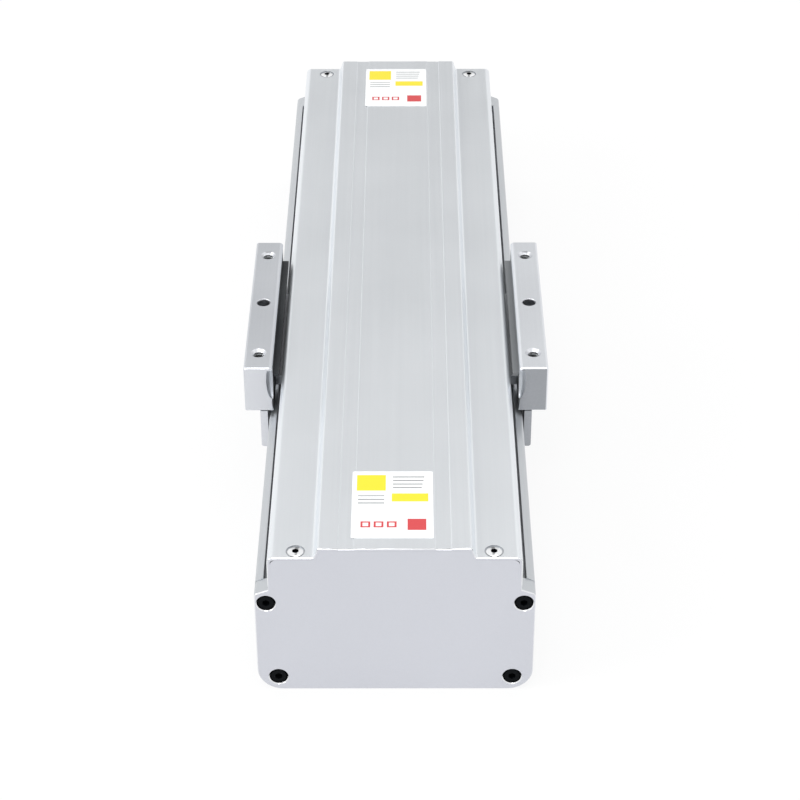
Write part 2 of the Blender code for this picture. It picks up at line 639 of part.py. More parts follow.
def rail(name, sign):
    """Profiled rail with waisted sides and counterbored holes."""
    half, foot = RAIL_WIDTH / 2, RAIL_SEAT + GAP
    centre = sign * RAIL_X
    levels = [foot + share * RAIL_HEIGHT for share in RAIL_LEVELS]
    side = [(half, foot, 0), (half, levels[0], 0), (half - RAIL_WAIST, levels[1], 0),
            (half - RAIL_WAIST, levels[2], 0), (half, levels[3], 0), (half, foot + RAIL_HEIGHT, RAIL_EDGE)]
    loop = [Vector((centre + point.x, point.y)) for point in rounded(both_sides(side), steps=2)]
    made = prism(name, [loop], RAIL_NEAR, RAIL_FAR)
    length = RAIL_FAR - RAIL_NEAR
    count = int((length - RAIL_HOLE_HEAD) // RAIL_HOLE_PITCH) + 1
    first = (RAIL_NEAR + RAIL_FAR) / 2 - (count - 1) * RAIL_HOLE_PITCH / 2
    top = foot + RAIL_HEIGHT
    head, shank = RAIL_HOLE_HEAD / 2, RAIL_HOLE / 2
    over, under = top + CUT_PAST, foot - CUT_PAST
    step = top - RAIL_HOLE_HEAD_DEPTH
    for hole in range(count):
        profile = [(0, over), (head, over), (head, step), (shank, step), (shank, under), (0, under)]
        boolean(made, turned(f"{name} hole {hole}", profile, sides=8, group=CUTTERS,
                             upright_at=(centre, first + hole * RAIL_HOLE_PITCH, 0)))
    return finish(made, BARE_STEEL)


def runner_outline(centre, inset):
    """Section of a runner block round its rail, or of its smaller end pieces."""
    foot = RAIL_SEAT + GAP
    half = BLOCK_WIDTH / 2 - inset
    top = BLOCK_TOP - inset
    low = foot + BLOCK_RISE + inset
    slot = RAIL_WIDTH / 2 + RUN_GAP + inset / 2
    ridge = slot - RAIL_WAIST
    roof = foot + RAIL_HEIGHT + RUN_GAP + inset / 2
    levels = [foot + share * RAIL_HEIGHT for share in BLOCK_LEVELS]
    side = [(half, low, BLOCK_FOOT_EDGE), (half, top, BLOCK_TOP_EDGE)]
    channel = [(slot, roof, 0), (slot, levels[0], 0), (ridge, levels[1], 0),
               (ridge, levels[2], 0), (slot, levels[3], 0), (slot, low, 0)]
    left = [(-x, z, radius) for x, z, radius in reversed(side)]
    channel_left = [(-x, z, radius) for x, z, radius in reversed(channel)]
    points = rounded(side + left + channel_left + channel, steps=2)
    return [Vector((centre + point.x, point.y)) for point in points]


def runner_block(name, sign, middle):
    """Steel block with a smaller end piece on each end."""
    centre = sign * RAIL_X
    made = prism(name, [runner_outline(centre, 0.0)], middle - BLOCK_STEEL / 2, middle + BLOCK_STEEL / 2)
    ends = prism(name + " ends", [runner_outline(centre, BLOCK_END_INSET)],
                 middle - BLOCK_LENGTH / 2, middle + BLOCK_LENGTH / 2, group=CUTTERS)
    return finish(boolean(made, ends, "UNION"), BARE_STEEL)


def wing_outline(sign):
    """Section of a side wing."""
    corners = [(WING_OUTER, WING_BOTTOM, WING_CORNER / 2), (WING_OUTER, TABLE_TOP, WING_CORNER),
               (WING_INNER, TABLE_TOP, WING_INNER_CORNER), (WING_INNER, WING_BOTTOM, 0)]
    return [Vector((sign * point.x, point.y)) for point in rounded(corners, steps=4)]


def scoop_outline(sign, steps=12):
    """Section of the hollow at a wing's end: a tall half ellipse, cut off flat under the wing's top."""
    middle = TABLE_TOP - SCOOP_MIDDLE
    top = TABLE_TOP - SCOOP_TOP
    start = math.asin((top - middle) / SCOOP_HALF_HEIGHT)
    inside = WING_INNER - WELD
    points = [Vector((sign * inside, middle - SCOOP_HALF_HEIGHT)), Vector((sign * inside, top))]
    for step in range(steps):
        angle = start - (start + math.pi / 2) * step / steps
        points.append(Vector((sign * (WING_INNER + SCOOP_WIDTH * math.cos(angle)),
                              middle + SCOOP_HALF_HEIGHT * math.sin(angle))))
    return points


def wing(side, sign):
    """A wing with a hollow at each end of its inner side."""
    near, far = REST_Y - WING_LENGTH / 2, REST_Y + WING_LENGTH / 2
    made = prism(f"wing {side}", [wing_outline(sign)], near, far, group=CUTTERS, chamfer=WING_CHAMFER)
    for end, start, stop in (("idle", near - CUT_PAST, near + SCOOP_LENGTH),
                             ("motor", far - SCOOP_LENGTH, far + CUT_PAST)):
        boolean(made, prism(f"scoop {side} {end}", [scoop_outline(sign)], start, stop, group=CUTTERS))
    return made


def carriage():
    """Machined carriage: plate under the cover, arms through the side gaps, wings outside."""
    plate = UPPER_PORT[0] - PORT_BOSS - SLIDE_GAP
    near, far = REST_Y - TABLE_LENGTH / 2, REST_Y + TABLE_LENGTH / 2
    half = [(plate, TABLE_UNDERSIDE, TABLE_EDGE), (plate, TABLE_PLATE_TOP, 0)]
    made = prism("carriage", [rounded(both_sides(half), steps=2)], near, far)
    reach = WING_INNER + WELD
    arms = block("arms", (-reach, near + ARM_SETBACK, ARM_BOTTOM),
                 (reach, far - ARM_SETBACK, ARM_TOP), CUTTERS)
    boolean(made, arms, "UNION")
    for side, sign in (("left", -1), ("right", 1)):
        boolean(made, wing(side, sign), "UNION")
        ledge_x = sorted((sign * (COVER_HALF + LEDGE_GAP), sign * (WING_INNER + WELD)))
        ledge_y = WING_LENGTH / 2 - LEDGE_SETBACK
        boolean(made, block(f"ledge {side}", (ledge_x[0], REST_Y - ledge_y, LEDGE_TOP - LEDGE_THICKNESS),
                            (ledge_x[1], REST_Y + ledge_y, LEDGE_TOP), CUTTERS), "UNION")
        cut_table_holes(made, side, sign)
        cut_block_bolts(made, side, sign)
    side, over = NUT_FLANGE / 2 + SLIDE_GAP, SCREW_Z + NUT_FLATS / 2 + SLIDE_GAP
    relief = block("flange relief", (-side, FLANGE_NEAR - SLIDE_GAP, TABLE_UNDERSIDE - CUT_PAST),
                   (side, FLANGE_FAR + GAP / 2, over), CUTTERS)
    return finish(boolean(made, relief), ANODISED)


def cut_block_bolts(made, side, sign):
    """Holes for the bolts of the two runner blocks on one side."""
    spots = [(sign * RAIL_X + across * BLOCK_BOLT_X, REST_Y + end * BLOCK_Y + along * BLOCK_BOLT_Y, 0)
             for end in (-1, 1) for across in (-1, 1) for along in (-1, 1)]
    for number, spot in enumerate(spots):
        boolean(made, rod(f"block bolt {side} {number}", BLOCK_BOLT, TABLE_UNDERSIDE - CUT_PAST,
                          TABLE_PLATE_TOP + CUT_PAST, sides=HIDDEN_ROUND, upright_at=spot))


def cut_table_holes(made, side, sign):
    """Two tapped holes with a dowel hole between them, in one wing."""
    x = sign * TABLE_HOLE_X
    over = TABLE_TOP + CUT_PAST
    tap, mouth = TABLE_TAP / 2, TABLE_TAP_MOUTH / 2
    cone = mouth - tap
    bottom = TABLE_TOP - TABLE_TAP_DEPTH
    profile = [(0, over), (mouth, over), (mouth, TABLE_TOP), (tap, TABLE_TOP - cone), (tap, bottom),
               (0, bottom - tap / 2)]
    for end in (-1, 1):
        boolean(made, turned(f"tapped hole {side} {end}", profile, sides=16, group=CUTTERS,
                             upright_at=(x, REST_Y + end * TABLE_HOLE_PITCH, 0)))
    boolean(made, rod(f"dowel hole {side}", DOWEL_HOLE, TABLE_TOP - DOWEL_DEPTH, over, sides=16,
                      upright_at=(x, REST_Y, 0)))


def sensor_flag(name, sign):
    """Angle piece under a wing that passes the sensor slot."""
    near = REST_Y - WING_LENGTH / 2 + FLAG_SETBACK
    top = WING_BOTTOM - GAP
    inner, outer = HALF_WIDTH + FLAG_GAP, HALF_WIDTH + FLAG_GAP + FLAG_WIDTH
    leg = [(inner, FLAG_TIP, FLAG_CORNER / 2), (outer, FLAG_TIP, FLAG_CORNER),
           (outer, top, 0), (inner, top, 0)]
    made = prism(name, [[Vector((sign * point.x, point.y)) for point in rounded(leg, steps=4)]],
                 near, near + FLAG_LENGTH)
    side = sorted((sign * inner, sign * outer))
    foot = block(f"{name} foot", (side[0], near + FLAG_LENGTH - WELD, top - FLAG_FOOT),
                 (side[1], near + FLAG_FOOT_LENGTH, top), CUTTERS)
    return finish(boolean(made, foot, "UNION"), ANODISED)


def ball_screw():
    """Screw with an idle journal, a bearing collar, the bearing journal and a stub for the coupling."""
    stub, drive, idle = DRIVE_STUB / 2, DRIVE_JOURNAL / 2, IDLE_JOURNAL / 2
    body, collar = SCREW_DIAMETER / 2, SCREW_COLLAR / 2
    stub_end = DRIVE_FAR + HUB_SETBACK + COVER_RING_THICKNESS + GAP + HUB_LENGTH - STUB_SHORT
    seat = DRIVE_NEAR + DRIVE_LIP
    nut_end = seat + 2 * (DRIVE_RING_WIDTH + GAP) + GAP + LOCK_NUT_WIDTH + NUT_THREAD_PAST
    idle_end = IDLE_FAR - IDLE_LIP - IDLE_RING_WIDTH - 2 * GAP - IDLE_TAIL
    collar_near = seat - DRIVE_LIP - COLLAR_STEP
    edge = TURNED_EDGE
    profile = [(0, stub_end), (stub - edge, stub_end), (stub, stub_end - edge), (stub, nut_end),
               (drive, nut_end), (drive, seat), (collar, seat), (collar, collar_near),
               (body, collar_near), (body, IDLE_FAR - IDLE_LIP), (idle, IDLE_FAR - IDLE_LIP),
               (idle, idle_end + edge), (idle - edge, idle_end), (0, idle_end)]
    return finish(turned("ball_screw", profile), BARE_STEEL)


def ball_nut():
    """Flanged nut with two flats and four bolt holes."""
    body, flange, bore = NUT_DIAMETER / 2, NUT_FLANGE / 2, SCREW_DIAMETER / 2 + GAP
    end = FLANGE_NEAR + NUT_LENGTH
    profile = [(bore, end), (body - TURNED_EDGE, end), (body, end - TURNED_EDGE), (body, FLANGE_FAR),
               (flange, FLANGE_FAR), (flange, FLANGE_NEAR), (bore, FLANGE_NEAR)]
    made = turned("ball_nut", profile, closed=True, sides=BORE_ROUND)
    for level, sign in (("upper", 1), ("lower", -1)):
        edge = sorted((SCREW_Z + sign * NUT_FLATS / 2, SCREW_Z + sign * NUT_FLANGE))
        boolean(made, block(f"flat {level}", (-NUT_FLANGE, FLANGE_NEAR - CUT_PAST, edge[0]),
                            (NUT_FLANGE, FLANGE_FAR + CUT_PAST, edge[1]), CUTTERS))
    lean = NUT_BOLT_ANGLE
    for bolt, degrees in enumerate((-lean, lean, 180 - lean, 180 + lean)):
        angle = math.radians(degrees)
        x = NUT_BOLT_CIRCLE / 2 * math.cos(angle)
        z = SCREW_Z + NUT_BOLT_CIRCLE / 2 * math.sin(angle)
        boolean(made, rod(f"nut bolt {bolt}", NUT_BOLT, FLANGE_NEAR - CUT_PAST, FLANGE_FAR + CUT_PAST,
                          x, z, SMALL_ROUND))
    return finish(made, BARE_STEEL)


def nut_bracket():
    """Block that carries the nut under the carriage plate."""
    near = FLANGE_FAR + GAP
    half = [(BRACKET_WIDTH / 2, BRACKET_FOOT, BRACKET_CHAMFER), (BRACKET_WIDTH / 2, BLOCK_TOP, TABLE_EDGE)]
    loops = [rounded(both_sides(half), steps=3), circle(0, SCREW_Z, NUT_DIAMETER + 2 * GAP, BORE_ROUND)]
    return finish(prism("nut_bracket", loops, near, near + BRACKET_LENGTH), ANODISED)


def idle_housing():
    """Housing of the idle end's bearing, narrow enough to stand between the rails."""
    half = [(KEEL_HALF, FLOOR + GAP, HOUSING_EDGE), (KEEL_HALF, HOUSING_TOP, HOUSING_FILLET)]
    made = prism("idle_bearing_housing", [rounded(both_sides(half), steps=4)], IDLE_NEAR, IDLE_FAR)
    seat = IDLE_RING / 2 + GAP
    lip = SCREW_DIAMETER / 2 + 2 * SLIDE_GAP
    step = IDLE_FAR - IDLE_LIP
    groove_far = step - IDLE_RING_WIDTH - 2 * GAP
    groove_near = groove_far - CIRCLIP - 2 * GAP
    near, far = IDLE_NEAR - CUT_PAST, IDLE_FAR + CUT_PAST
    groove = seat + CIRCLIP_DEPTH
    profile = [(0, far), (lip, far), (lip, step), (seat, step), (seat, groove_far), (groove, groove_far),
               (groove, groove_near), (seat, groove_near), (seat, near), (0, near)]
    boolean(made, turned("idle bore", profile, group=CUTTERS, sides=BORE_ROUND))
    return finish(made, ANODISED)


def idle_bearing():
    """Outer ring, inner ring and retaining ring of the idle end."""
    far = IDLE_FAR - IDLE_LIP - GAP
    near = far - IDLE_RING_WIDTH
    race = (IDLE_RING - IDLE_JOURNAL) / 2 * RACE_SHARE
    outer = tube("idle_bearing_outer_ring", IDLE_RING, IDLE_RING - 2 * race, near, far, BORE_ROUND)
    inner_bore = IDLE_JOURNAL + 2 * GAP
    inner = tube("idle_bearing_inner_ring", inner_bore + 2 * race, inner_bore, near, far)
    clip_far = near - GAP
    reach = IDLE_RING / 2 + CIRCLIP_DEPTH
    loop = sector(reach - CIRCLIP_DEPTH - CIRCLIP_RADIAL, reach, 90.0, 360.0 - CIRCLIP_MOUTH, 28)
    clip = prism("retaining_ring", [[Vector((point.x, point.y + SCREW_Z)) for point in loop]],
                 clip_far - CIRCLIP, clip_far)
    finish(clip, BLACK_STEEL)
    return finish(outer, BARE_STEEL), finish(inner, BARE_STEEL)


def drive_housing():
    """Housing of the two angular contact bearings at the motor end."""
    head = HOUSING_HEAD / 2
    half = [(HOUSING_HALF, RAIL_SEAT + GAP, 0), (HOUSING_HALF, HOUSING_SHOULDER, HOUSING_EDGE),
            (head, HOUSING_SHOULDER, HOUSING_FILLET), (head, HOUSING_TOP, HOUSING_FILLET)]
    made = prism("drive_bearing_housing", [rounded(both_sides(half), steps=4)], DRIVE_NEAR, DRIVE_FAR)
    keel = block("keel", (-KEEL_HALF, DRIVE_NEAR, FLOOR + GAP),
                 (KEEL_HALF, DRIVE_FAR, HOUSING_SHOULDER), CUTTERS)
    boolean(made, keel, "UNION")
    seat = DRIVE_RING / 2 + GAP
    lip = SCREW_COLLAR / 2 + SLIDE_GAP
    step = DRIVE_NEAR + DRIVE_LIP
    near, far = DRIVE_NEAR - CUT_PAST, DRIVE_FAR + CUT_PAST
    profile = [(0, far), (seat, far), (seat, step), (lip, step), (lip, near), (0, near)]
    boolean(made, turned("drive bore", profile, group=CUTTERS, sides=BORE_ROUND))
    return finish(made, ANODISED)


def drive_bearings():
    """Two bearings, the lock nut on the screw and the ring that closes the housing."""
    race = (DRIVE_RING - DRIVE_JOURNAL) / 2 * RACE_SHARE
    inner_bore = DRIVE_JOURNAL + 2 * GAP
    near = DRIVE_NEAR + DRIVE_LIP + GAP
    for place_name in ("first", "second"):
        far = near + DRIVE_RING_WIDTH
        outer = tube(f"drive_bearing_outer_ring_{place_name}", DRIVE_RING, DRIVE_RING - 2 * race,
                     near, far, BORE_ROUND)
        inner = tube(f"drive_bearing_inner_ring_{place_name}", inner_bore + 2 * race, inner_bore, near, far)
        finish(outer, BARE_STEEL)
        finish(inner, BARE_STEEL)
        near = far + GAP
    finish(tube("bearing_lock_nut", LOCK_NUT, inner_bore, near, near + LOCK_NUT_WIDTH), BLACK_STEEL)
    pilot, opening = DRIVE_RING / 2, LOCK_NUT / 2 + SLIDE_GAP
    face = DRIVE_FAR + GAP
    profile = [(COVER_RING / 2, face + COVER_RING_THICKNESS), (COVER_RING / 2, face), (pilot, face),
               (pilot, near), (opening, near), (opening, face + COVER_RING_THICKNESS)]
    return finish(turned("drive_bearing_cover", profile, closed=True, sides=BORE_ROUND), ANODISED)


def bumper(name, start):
    """Rubber stop pad on a bearing housing."""
    width, top = BUMPER_WIDTH / 2, HOUSING_TOP - GAP
    loop = rounded([(-width, BUMPER_BASE, BUMPER_CORNER), (width, BUMPER_BASE, BUMPER_CORNER),
                    (width, top, BUMPER_CORNER), (-width, top, BUMPER_CORNER)], steps=3)
    return finish(prism(name, [loop], start, start + BUMPER), RUBBER)


def coupling_hub(name, bore, start, end, jaw_start, jaw_end, first_angle):
    """Coupling hub with two jaws on its face."""
    made = tube(name, HUB, bore, start, end)
    for jaw in range(2):
        points = sector(JAW_INNER, HUB / 2 - JAW_SHORT, first_angle + 180 * jaw, JAW_ANGLE)
        tooth = prism(f"{name} jaw {jaw}", [[Vector((point.x, point.y + SCREW_Z)) for point in points]],
                      jaw_start, jaw_end, group=CUTTERS)
        boolean(made, tooth, "UNION")
    return finish(made, ANODISED)


def coupling():
    """Jaw coupling: hub on the screw, rubber spider, hub for the motor's shaft."""
    start = DRIVE_FAR + GAP + COVER_RING_THICKNESS + HUB_SETBACK
    face = start + HUB_LENGTH
    other_face = face + JAW_LENGTH + 2 * GAP
    coupling_hub("coupling_hub_screw_side", DRIVE_STUB + 2 * GAP, start, face,
                 face - WELD, other_face - GAP, 0.0)
    coupling_hub("coupling_hub_motor_side", MOTOR_SHAFT, other_face, other_face + HUB_LENGTH,
                 face + GAP, other_face + WELD, 90.0)
    arm_width = 90.0 - JAW_ANGLE - 2 * math.degrees(GAP / JAW_INNER)
    ring = tube("coupling_spider", 2 * SPIDER_RING, SPIDER_RING, face + GAP, other_face - GAP)
    for arm in range(4):
        points = sector(SPIDER_RING - WELD, HUB / 2 - SPIDER_SHORT, 45.0 + 90.0 * arm, arm_width, 2)
        made = prism(f"spider arm {arm}", [[Vector((point.x, point.y + SCREW_Z)) for point in points]],
                     face + GAP, other_face - GAP, group=CUTTERS)
        boolean(ring, made, "UNION")
    return finish(ring, ORANGE_RUBBER)


def hang_on(name, spot, names):
    """Parent the pieces of a moving body to an empty on its joint's axis."""
    empty = bpy.data.objects.new(name, None)
    empty.location = spot
    PARTS.objects.link(empty)
    bpy.context.view_layer.update()
    for child in names:
        piece = bpy.data.objects[child]
        piece.parent = empty
        piece.matrix_parent_inverse = empty.matrix_world.inverted()


def build():
    """Make every piece of the module."""
    base_extrusion()
    top_cover()
    idle_end_cap()
    motor_plate()
    for name, x, z in ports():
        end_screw(f"idle_cap_screw_{name}", x, z, NEAR_FACE, 1)
        end_screw(f"motor_plate_screw_{name}", x, z, FAR_FACE, -1)
    for name, x, y in cover_screws():
        cover_screw(f"cover_screw_{name}", x, y)
    moving = ["carriage", "ball_nut", "nut_bracket"]
    for side, sign in (("left", -1), ("right", 1)):
        rail(f"guide_rail_{side}", sign)
        for end, toward in (("idle", -1), ("motor", 1)):
            moving.append(f"runner_block_{end}_{side}")
            runner_block(moving[-1], sign, REST_Y + toward * BLOCK_Y)
        moving.append(f"sensor_flag_{side}")
        sensor_flag(moving[-1], sign)
    carriage()
    ball_screw()
    ball_nut()
    nut_bracket()
    idle_housing()
    idle_bearing()
    drive_housing()
    drive_bearings()
    bumper("idle_bumper", IDLE_FAR + GAP)
    bumper("drive_bumper", DRIVE_NEAR - GAP - BUMPER)
    coupling()
    hang_on("carriage_slide", (0, REST_Y, SCREW_Z), moving)
    turning = ["ball_screw", "idle_bearing_inner_ring", "drive_bearing_inner_ring_first",
               "drive_bearing_inner_ring_second", "bearing_lock_nut", "coupling_hub_screw_side",
               "coupling_spider", "coupling_hub_motor_side"]
    hang_on("screw_line", (0, 0, SCREW_Z), turning)


build()
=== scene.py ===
# %% [markdown]
# # Ball screw linear module
# A linear module moves a carriage along a straight line: a motor turns a ball screw, and the nut on it
# pushes the carriage, which runs on two profiled rails. All of that sits in an aluminium body under a fixed
# cover, and only the two wings of the carriage show outside. The exact solids come from the imported part.
# This lesson dresses them: it models the pieces whose edges, threads and recesses catch the light, and
# gives every piece its real finish, with light and shade painted into some of the finishes.

# %% Load the imported part
import math
from contextlib import contextmanager

import bmesh
import bpy
from mathutils import Euler, Matrix, Vector


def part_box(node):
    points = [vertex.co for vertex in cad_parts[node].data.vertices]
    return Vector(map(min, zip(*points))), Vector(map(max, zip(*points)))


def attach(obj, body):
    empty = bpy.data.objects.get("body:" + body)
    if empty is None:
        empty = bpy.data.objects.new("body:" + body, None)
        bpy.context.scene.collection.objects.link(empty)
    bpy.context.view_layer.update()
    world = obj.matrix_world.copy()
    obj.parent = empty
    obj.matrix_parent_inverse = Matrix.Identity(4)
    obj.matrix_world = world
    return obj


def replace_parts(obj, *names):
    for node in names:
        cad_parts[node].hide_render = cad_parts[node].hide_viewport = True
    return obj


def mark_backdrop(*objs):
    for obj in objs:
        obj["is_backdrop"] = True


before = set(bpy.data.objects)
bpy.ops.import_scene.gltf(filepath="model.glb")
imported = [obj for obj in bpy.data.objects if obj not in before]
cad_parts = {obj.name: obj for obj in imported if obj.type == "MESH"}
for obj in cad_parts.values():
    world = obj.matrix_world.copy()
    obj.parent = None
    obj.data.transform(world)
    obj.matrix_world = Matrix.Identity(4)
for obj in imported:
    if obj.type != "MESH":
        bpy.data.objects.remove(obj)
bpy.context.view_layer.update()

# %% [markdown]
# ## The camera
# The photograph looks down on the closed end from the front, through a long lens, so the far end is drawn
# only a little smaller than the near one. A camera can be placed by eye, but here its place was worked out
# from about seventy corners and hole centres of the photograph, so that every edge of the model falls where
# the photograph has it. It comes first.

# %% Camera
MM = 0.001
PITCH, TURN, ROLL = 34.44, 0.25, -0.21


def aim_camera():
    """The photograph's camera: place, direction and lens."""
    lens = bpy.data.cameras.new("Photograph")
    lens.lens, lens.sensor_width = 100.0, 36.0
    lens.clip_start, lens.clip_end = 0.05, 20.0
    camera = bpy.data.objects.new("Photograph", lens)
    bpy.context.scene.collection.objects.link(camera)
    camera.location = Vector((5.67, -963.6, 655.2)) * MM
    look = Euler((math.radians(90 - PITCH), 0, math.radians(TURN))).to_matrix()
    camera.rotation_euler = (look @ Matrix.Rotation(math.radians(ROLL), 3, "Z")).to_euler()
    bpy.context.scene.camera = camera
    return camera


print("camera at", tuple(round(value, 4) for value in aim_camera().location))

# %% [markdown]
# ## Working with the modelling tools from a script
# Blender's modelling operators act on what is active and selected. Three small helpers keep that tidy: one
# makes an object the only selected one, one goes into edit mode and comes back out, and one selects faces,
# edges or vertices by a question about their place, as a hand would with a box select.

# %% Selecting and editing
def only(piece):
    """Make the piece the only selected object."""
    bpy.ops.object.select_all(action="DESELECT")
    piece.select_set(True)
    bpy.context.view_layer.objects.active = piece
    return piece


@contextmanager
def editing(piece):
    """Edit mode on one piece, with everything selected at first."""
    only(piece)
    bpy.ops.object.mode_set(mode="EDIT")
    bpy.ops.mesh.select_mode(type="VERT")
    bpy.ops.mesh.select_all(action="SELECT")
    yield
    bpy.ops.object.mode_set(mode="OBJECT")


def pick(kind, question):
    """Select the faces, edges or verts of the edited piece that answer yes."""
    mesh = bpy.context.edit_object.data
    bpy.ops.mesh.select_mode(type={"faces": "FACE", "edges": "EDGE", "verts": "VERT"}[kind])
    bpy.ops.mesh.select_all(action="DESELECT")
    work = bmesh.from_edit_mesh(mesh)
    chosen = [item for item in getattr(work, kind) if question(item)]
    for item in chosen:
        item.select_set(True)
    work.select_flush_mode()
    bmesh.update_edit_mesh(mesh)
    return len(chosen)


def middle(item):
    """Middle of an edge or a face."""
    return item.calc_center_median() if hasattr(item, "calc_center_median") else (
        (item.verts[0].co + item.verts[1].co) / 2)


def near(value, wanted, slack=0.00003):
    """Whether two lengths are the same."""
    return abs(value - wanted) < slack


def everything():
    """Select all of the edited piece."""
    bpy.ops.mesh.select_all(action="SELECT")


def face_outwards():
    """Turn every face of the edited piece outwards."""
    everything()
    bpy.ops.mesh.normals_make_consistent(inside=False)


def slice_at(place, normal, **settings):
    """Cut the edited piece along a plane."""
    everything()
    bpy.ops.mesh.bisect(plane_co=place, plane_no=normal, **settings)


def bevel(width, segments=1, **settings):
    """Bevel the selected edges."""
    bpy.ops.mesh.bevel(offset=width, segments=segments, affect="EDGES", **settings)


def extrude(x=0.0, y=0.0, z=0.0):
    """Extrude what is selected by a distance."""
    bpy.ops.mesh.extrude_region_move(TRANSFORM_OT_translate={"value": (x, y, z)})


def move(x=0.0, y=0.0, z=0.0):
    """Move what is selected."""
    bpy.ops.transform.translate(value=(x, y, z))


# %% [markdown]
# ## Primitives, cuts and modifiers
# A primitive is only a start, so it is brought to its size at once and its scale is applied. After that
# every length typed in edit mode is a true length. Holes are cut with a Boolean modifier and a cutter that
# is thrown away, and each modifier is applied, so that the piece is a plain mesh with its place inside it.

# %% Starting shapes and modifiers
def settle(piece):
    """Put the object's place, turn and scale into its mesh."""
    only(piece)
    bpy.ops.object.transform_apply(location=True, rotation=True, scale=True)
    return piece


def add(primitive, name, stretch=None, **settings):
    """Add a primitive with nothing else selected, name it, perhaps stretch it, and settle it."""
    bpy.ops.object.select_all(action="DESELECT")
    primitive(**settings)
    piece = bpy.context.active_object
    piece.name = piece.data.name = name
    piece.scale = stretch or piece.scale
    return settle(piece)


def box_between(name, low, high):
    """A cube brought to two opposite corners."""
    low, high = Vector(low), Vector(high)
    return add(bpy.ops.mesh.primitive_cube_add, name, size=1, location=(low + high) / 2, scale=high - low)


def span(start, end):
    """The depth, place and turn of a round primitive between two points."""
    start, end = Vector(start), Vector(end)
    return {"depth": (end - start).length, "location": (start + end) / 2,
            "rotation": (end - start).to_track_quat("Z", "Y").to_euler()}


def bar_between(name, diameter, start, end, sides=48):
    """A cylinder from one point to another."""
    return add(bpy.ops.mesh.primitive_cylinder_add, name, vertices=sides, radius=diameter / 2,
               **span(start, end))


def cone_between(name, start, end, wide, narrow, sides=64):
    """A cone from one point to another, with the wide end at the start."""
    return add(bpy.ops.mesh.primitive_cone_add, name, vertices=sides, radius1=wide / 2, radius2=narrow / 2,
               **span(start, end))


def modify(piece, kind, **settings):
    """Add a modifier, set it and apply it."""
    step = piece.modifiers.new(kind, kind)
    for setting, value in settings.items():
        setattr(step, setting, value)
    only(piece)
    bpy.ops.object.modifier_apply(modifier=step.name)
    return piece


def joined(name, pieces):
    """Several shapes as one object."""
    only(pieces[0])
    for piece in pieces[1:]:
        piece.select_set(True)
    bpy.ops.object.join()
    pieces[0].name = pieces[0].data.name = name
    return pieces[0]


def combine(piece, others, operation="DIFFERENCE"):
    """Cut the piece with other shapes, or unite it with them, and throw those away."""
    for other in others:
        modify(piece, "BOOLEAN", object=other, operation=operation, solver="EXACT")
        bpy.data.objects.remove(other, do_unlink=True)
        with editing(piece):
            bpy.ops.mesh.remove_doubles(threshold=0.004 * MM)
    return piece


def soften(piece, width=0.3 * MM, segments=2, angle=55):
    """Break the sharp edges, smooth what is round and keep what is flat flat."""
    if width:
        modify(piece, "BEVEL", width=width, segments=segments, limit_method="ANGLE",
               angle_limit=math.radians(angle), use_clamp_overlap=True)
    only(piece)
    bpy.ops.object.shade_smooth_by_angle(angle=math.radians(40))
    modify(piece, "WEIGHTED_NORMAL", keep_sharp=True, weight=80)
    return piece


def copy_of(piece, name, place):
    """A copy with its own mesh, moved by a matrix."""
    only(piece)
    bpy.ops.object.duplicate(linked=False)
    made = bpy.context.active_object
    made.name = made.data.name = name
    made.matrix_world = place
    return settle(made)


print("modelling helpers ready")

# %% [markdown]
# ## Maths on shader values
# A finish is a small calculation at each point of the surface. Blender draws it as boxes and wires, which
# soon gets long. Here a wire is a Python object that adds, subtracts and multiplies by adding Math nodes
# itself, so a mask can be written as one line of arithmetic. Everything else comes from one method that
# adds a node of any type.

# %% A wire that does arithmetic
class Wire:
    """One number or colour that comes out of a node."""

    def __init__(self, board, socket):
        self.board, self.socket = board, socket

    def sum_with(self, operation, first, second=None):
        values = {0: first} if second is None else {0: first, 1: second}
        return self.board.node("Math", {"operation": operation}, values)

    def __add__(self, other):
        return self.sum_with("ADD", self, other)

    def __sub__(self, other):
        return self.sum_with("SUBTRACT", self, other)

    def __rsub__(self, other):
        return self.sum_with("SUBTRACT", other, self)

    def __mul__(self, other):
        return self.sum_with("MULTIPLY", self, other)

    def __pow__(self, other):
        return self.sum_with("POWER", self, other)

    def __gt__(self, other):
        return self.sum_with("GREATER_THAN", self, other)

    def __lt__(self, other):
        return self.sum_with("LESS_THAN", self, other)

    __radd__, __rmul__ = __add__, __mul__

    def either(self, other):
        return self.sum_with("MAXIMUM", self, other)

    def sine(self):
        return self.sum_with("SINE", self)


# %% A board of nodes
class Board:
    """The nodes of a material or of the world."""

    def __init__(self, owner):
        owner.use_nodes = True
        self.tree = owner.node_tree

    def node(self, kind, settings=None, values=None, output=0):
        made = self.tree.nodes.new("ShaderNode" + kind)
        for name, value in (settings or {}).items():
            if name == "stops":
                self.set_stops(made.color_ramp, value)
            else:
                setattr(made, name, value)
        for name, value in (values or {}).items():
            self.feed(made.inputs[name], value)
        return Wire(self, made.outputs[output])

    def set_stops(self, ramp, stops):
        while len(ramp.elements) < len(stops):
            ramp.elements.new(0.5)
        for element, (position, shade) in zip(ramp.elements, stops):
            element.position, element.color = position, (shade, shade, shade, 1)

    def feed(self, socket, value):
        if isinstance(value, Wire):
            self.tree.links.new(value.socket, socket)
        else:
            socket.default_value = value

    def blend(self, amount, first, second):
        """A colour between two colours."""
        return self.node("Mix", {"data_type": "RGBA"}, {0: amount, 6: first, 7: second}, output=2)


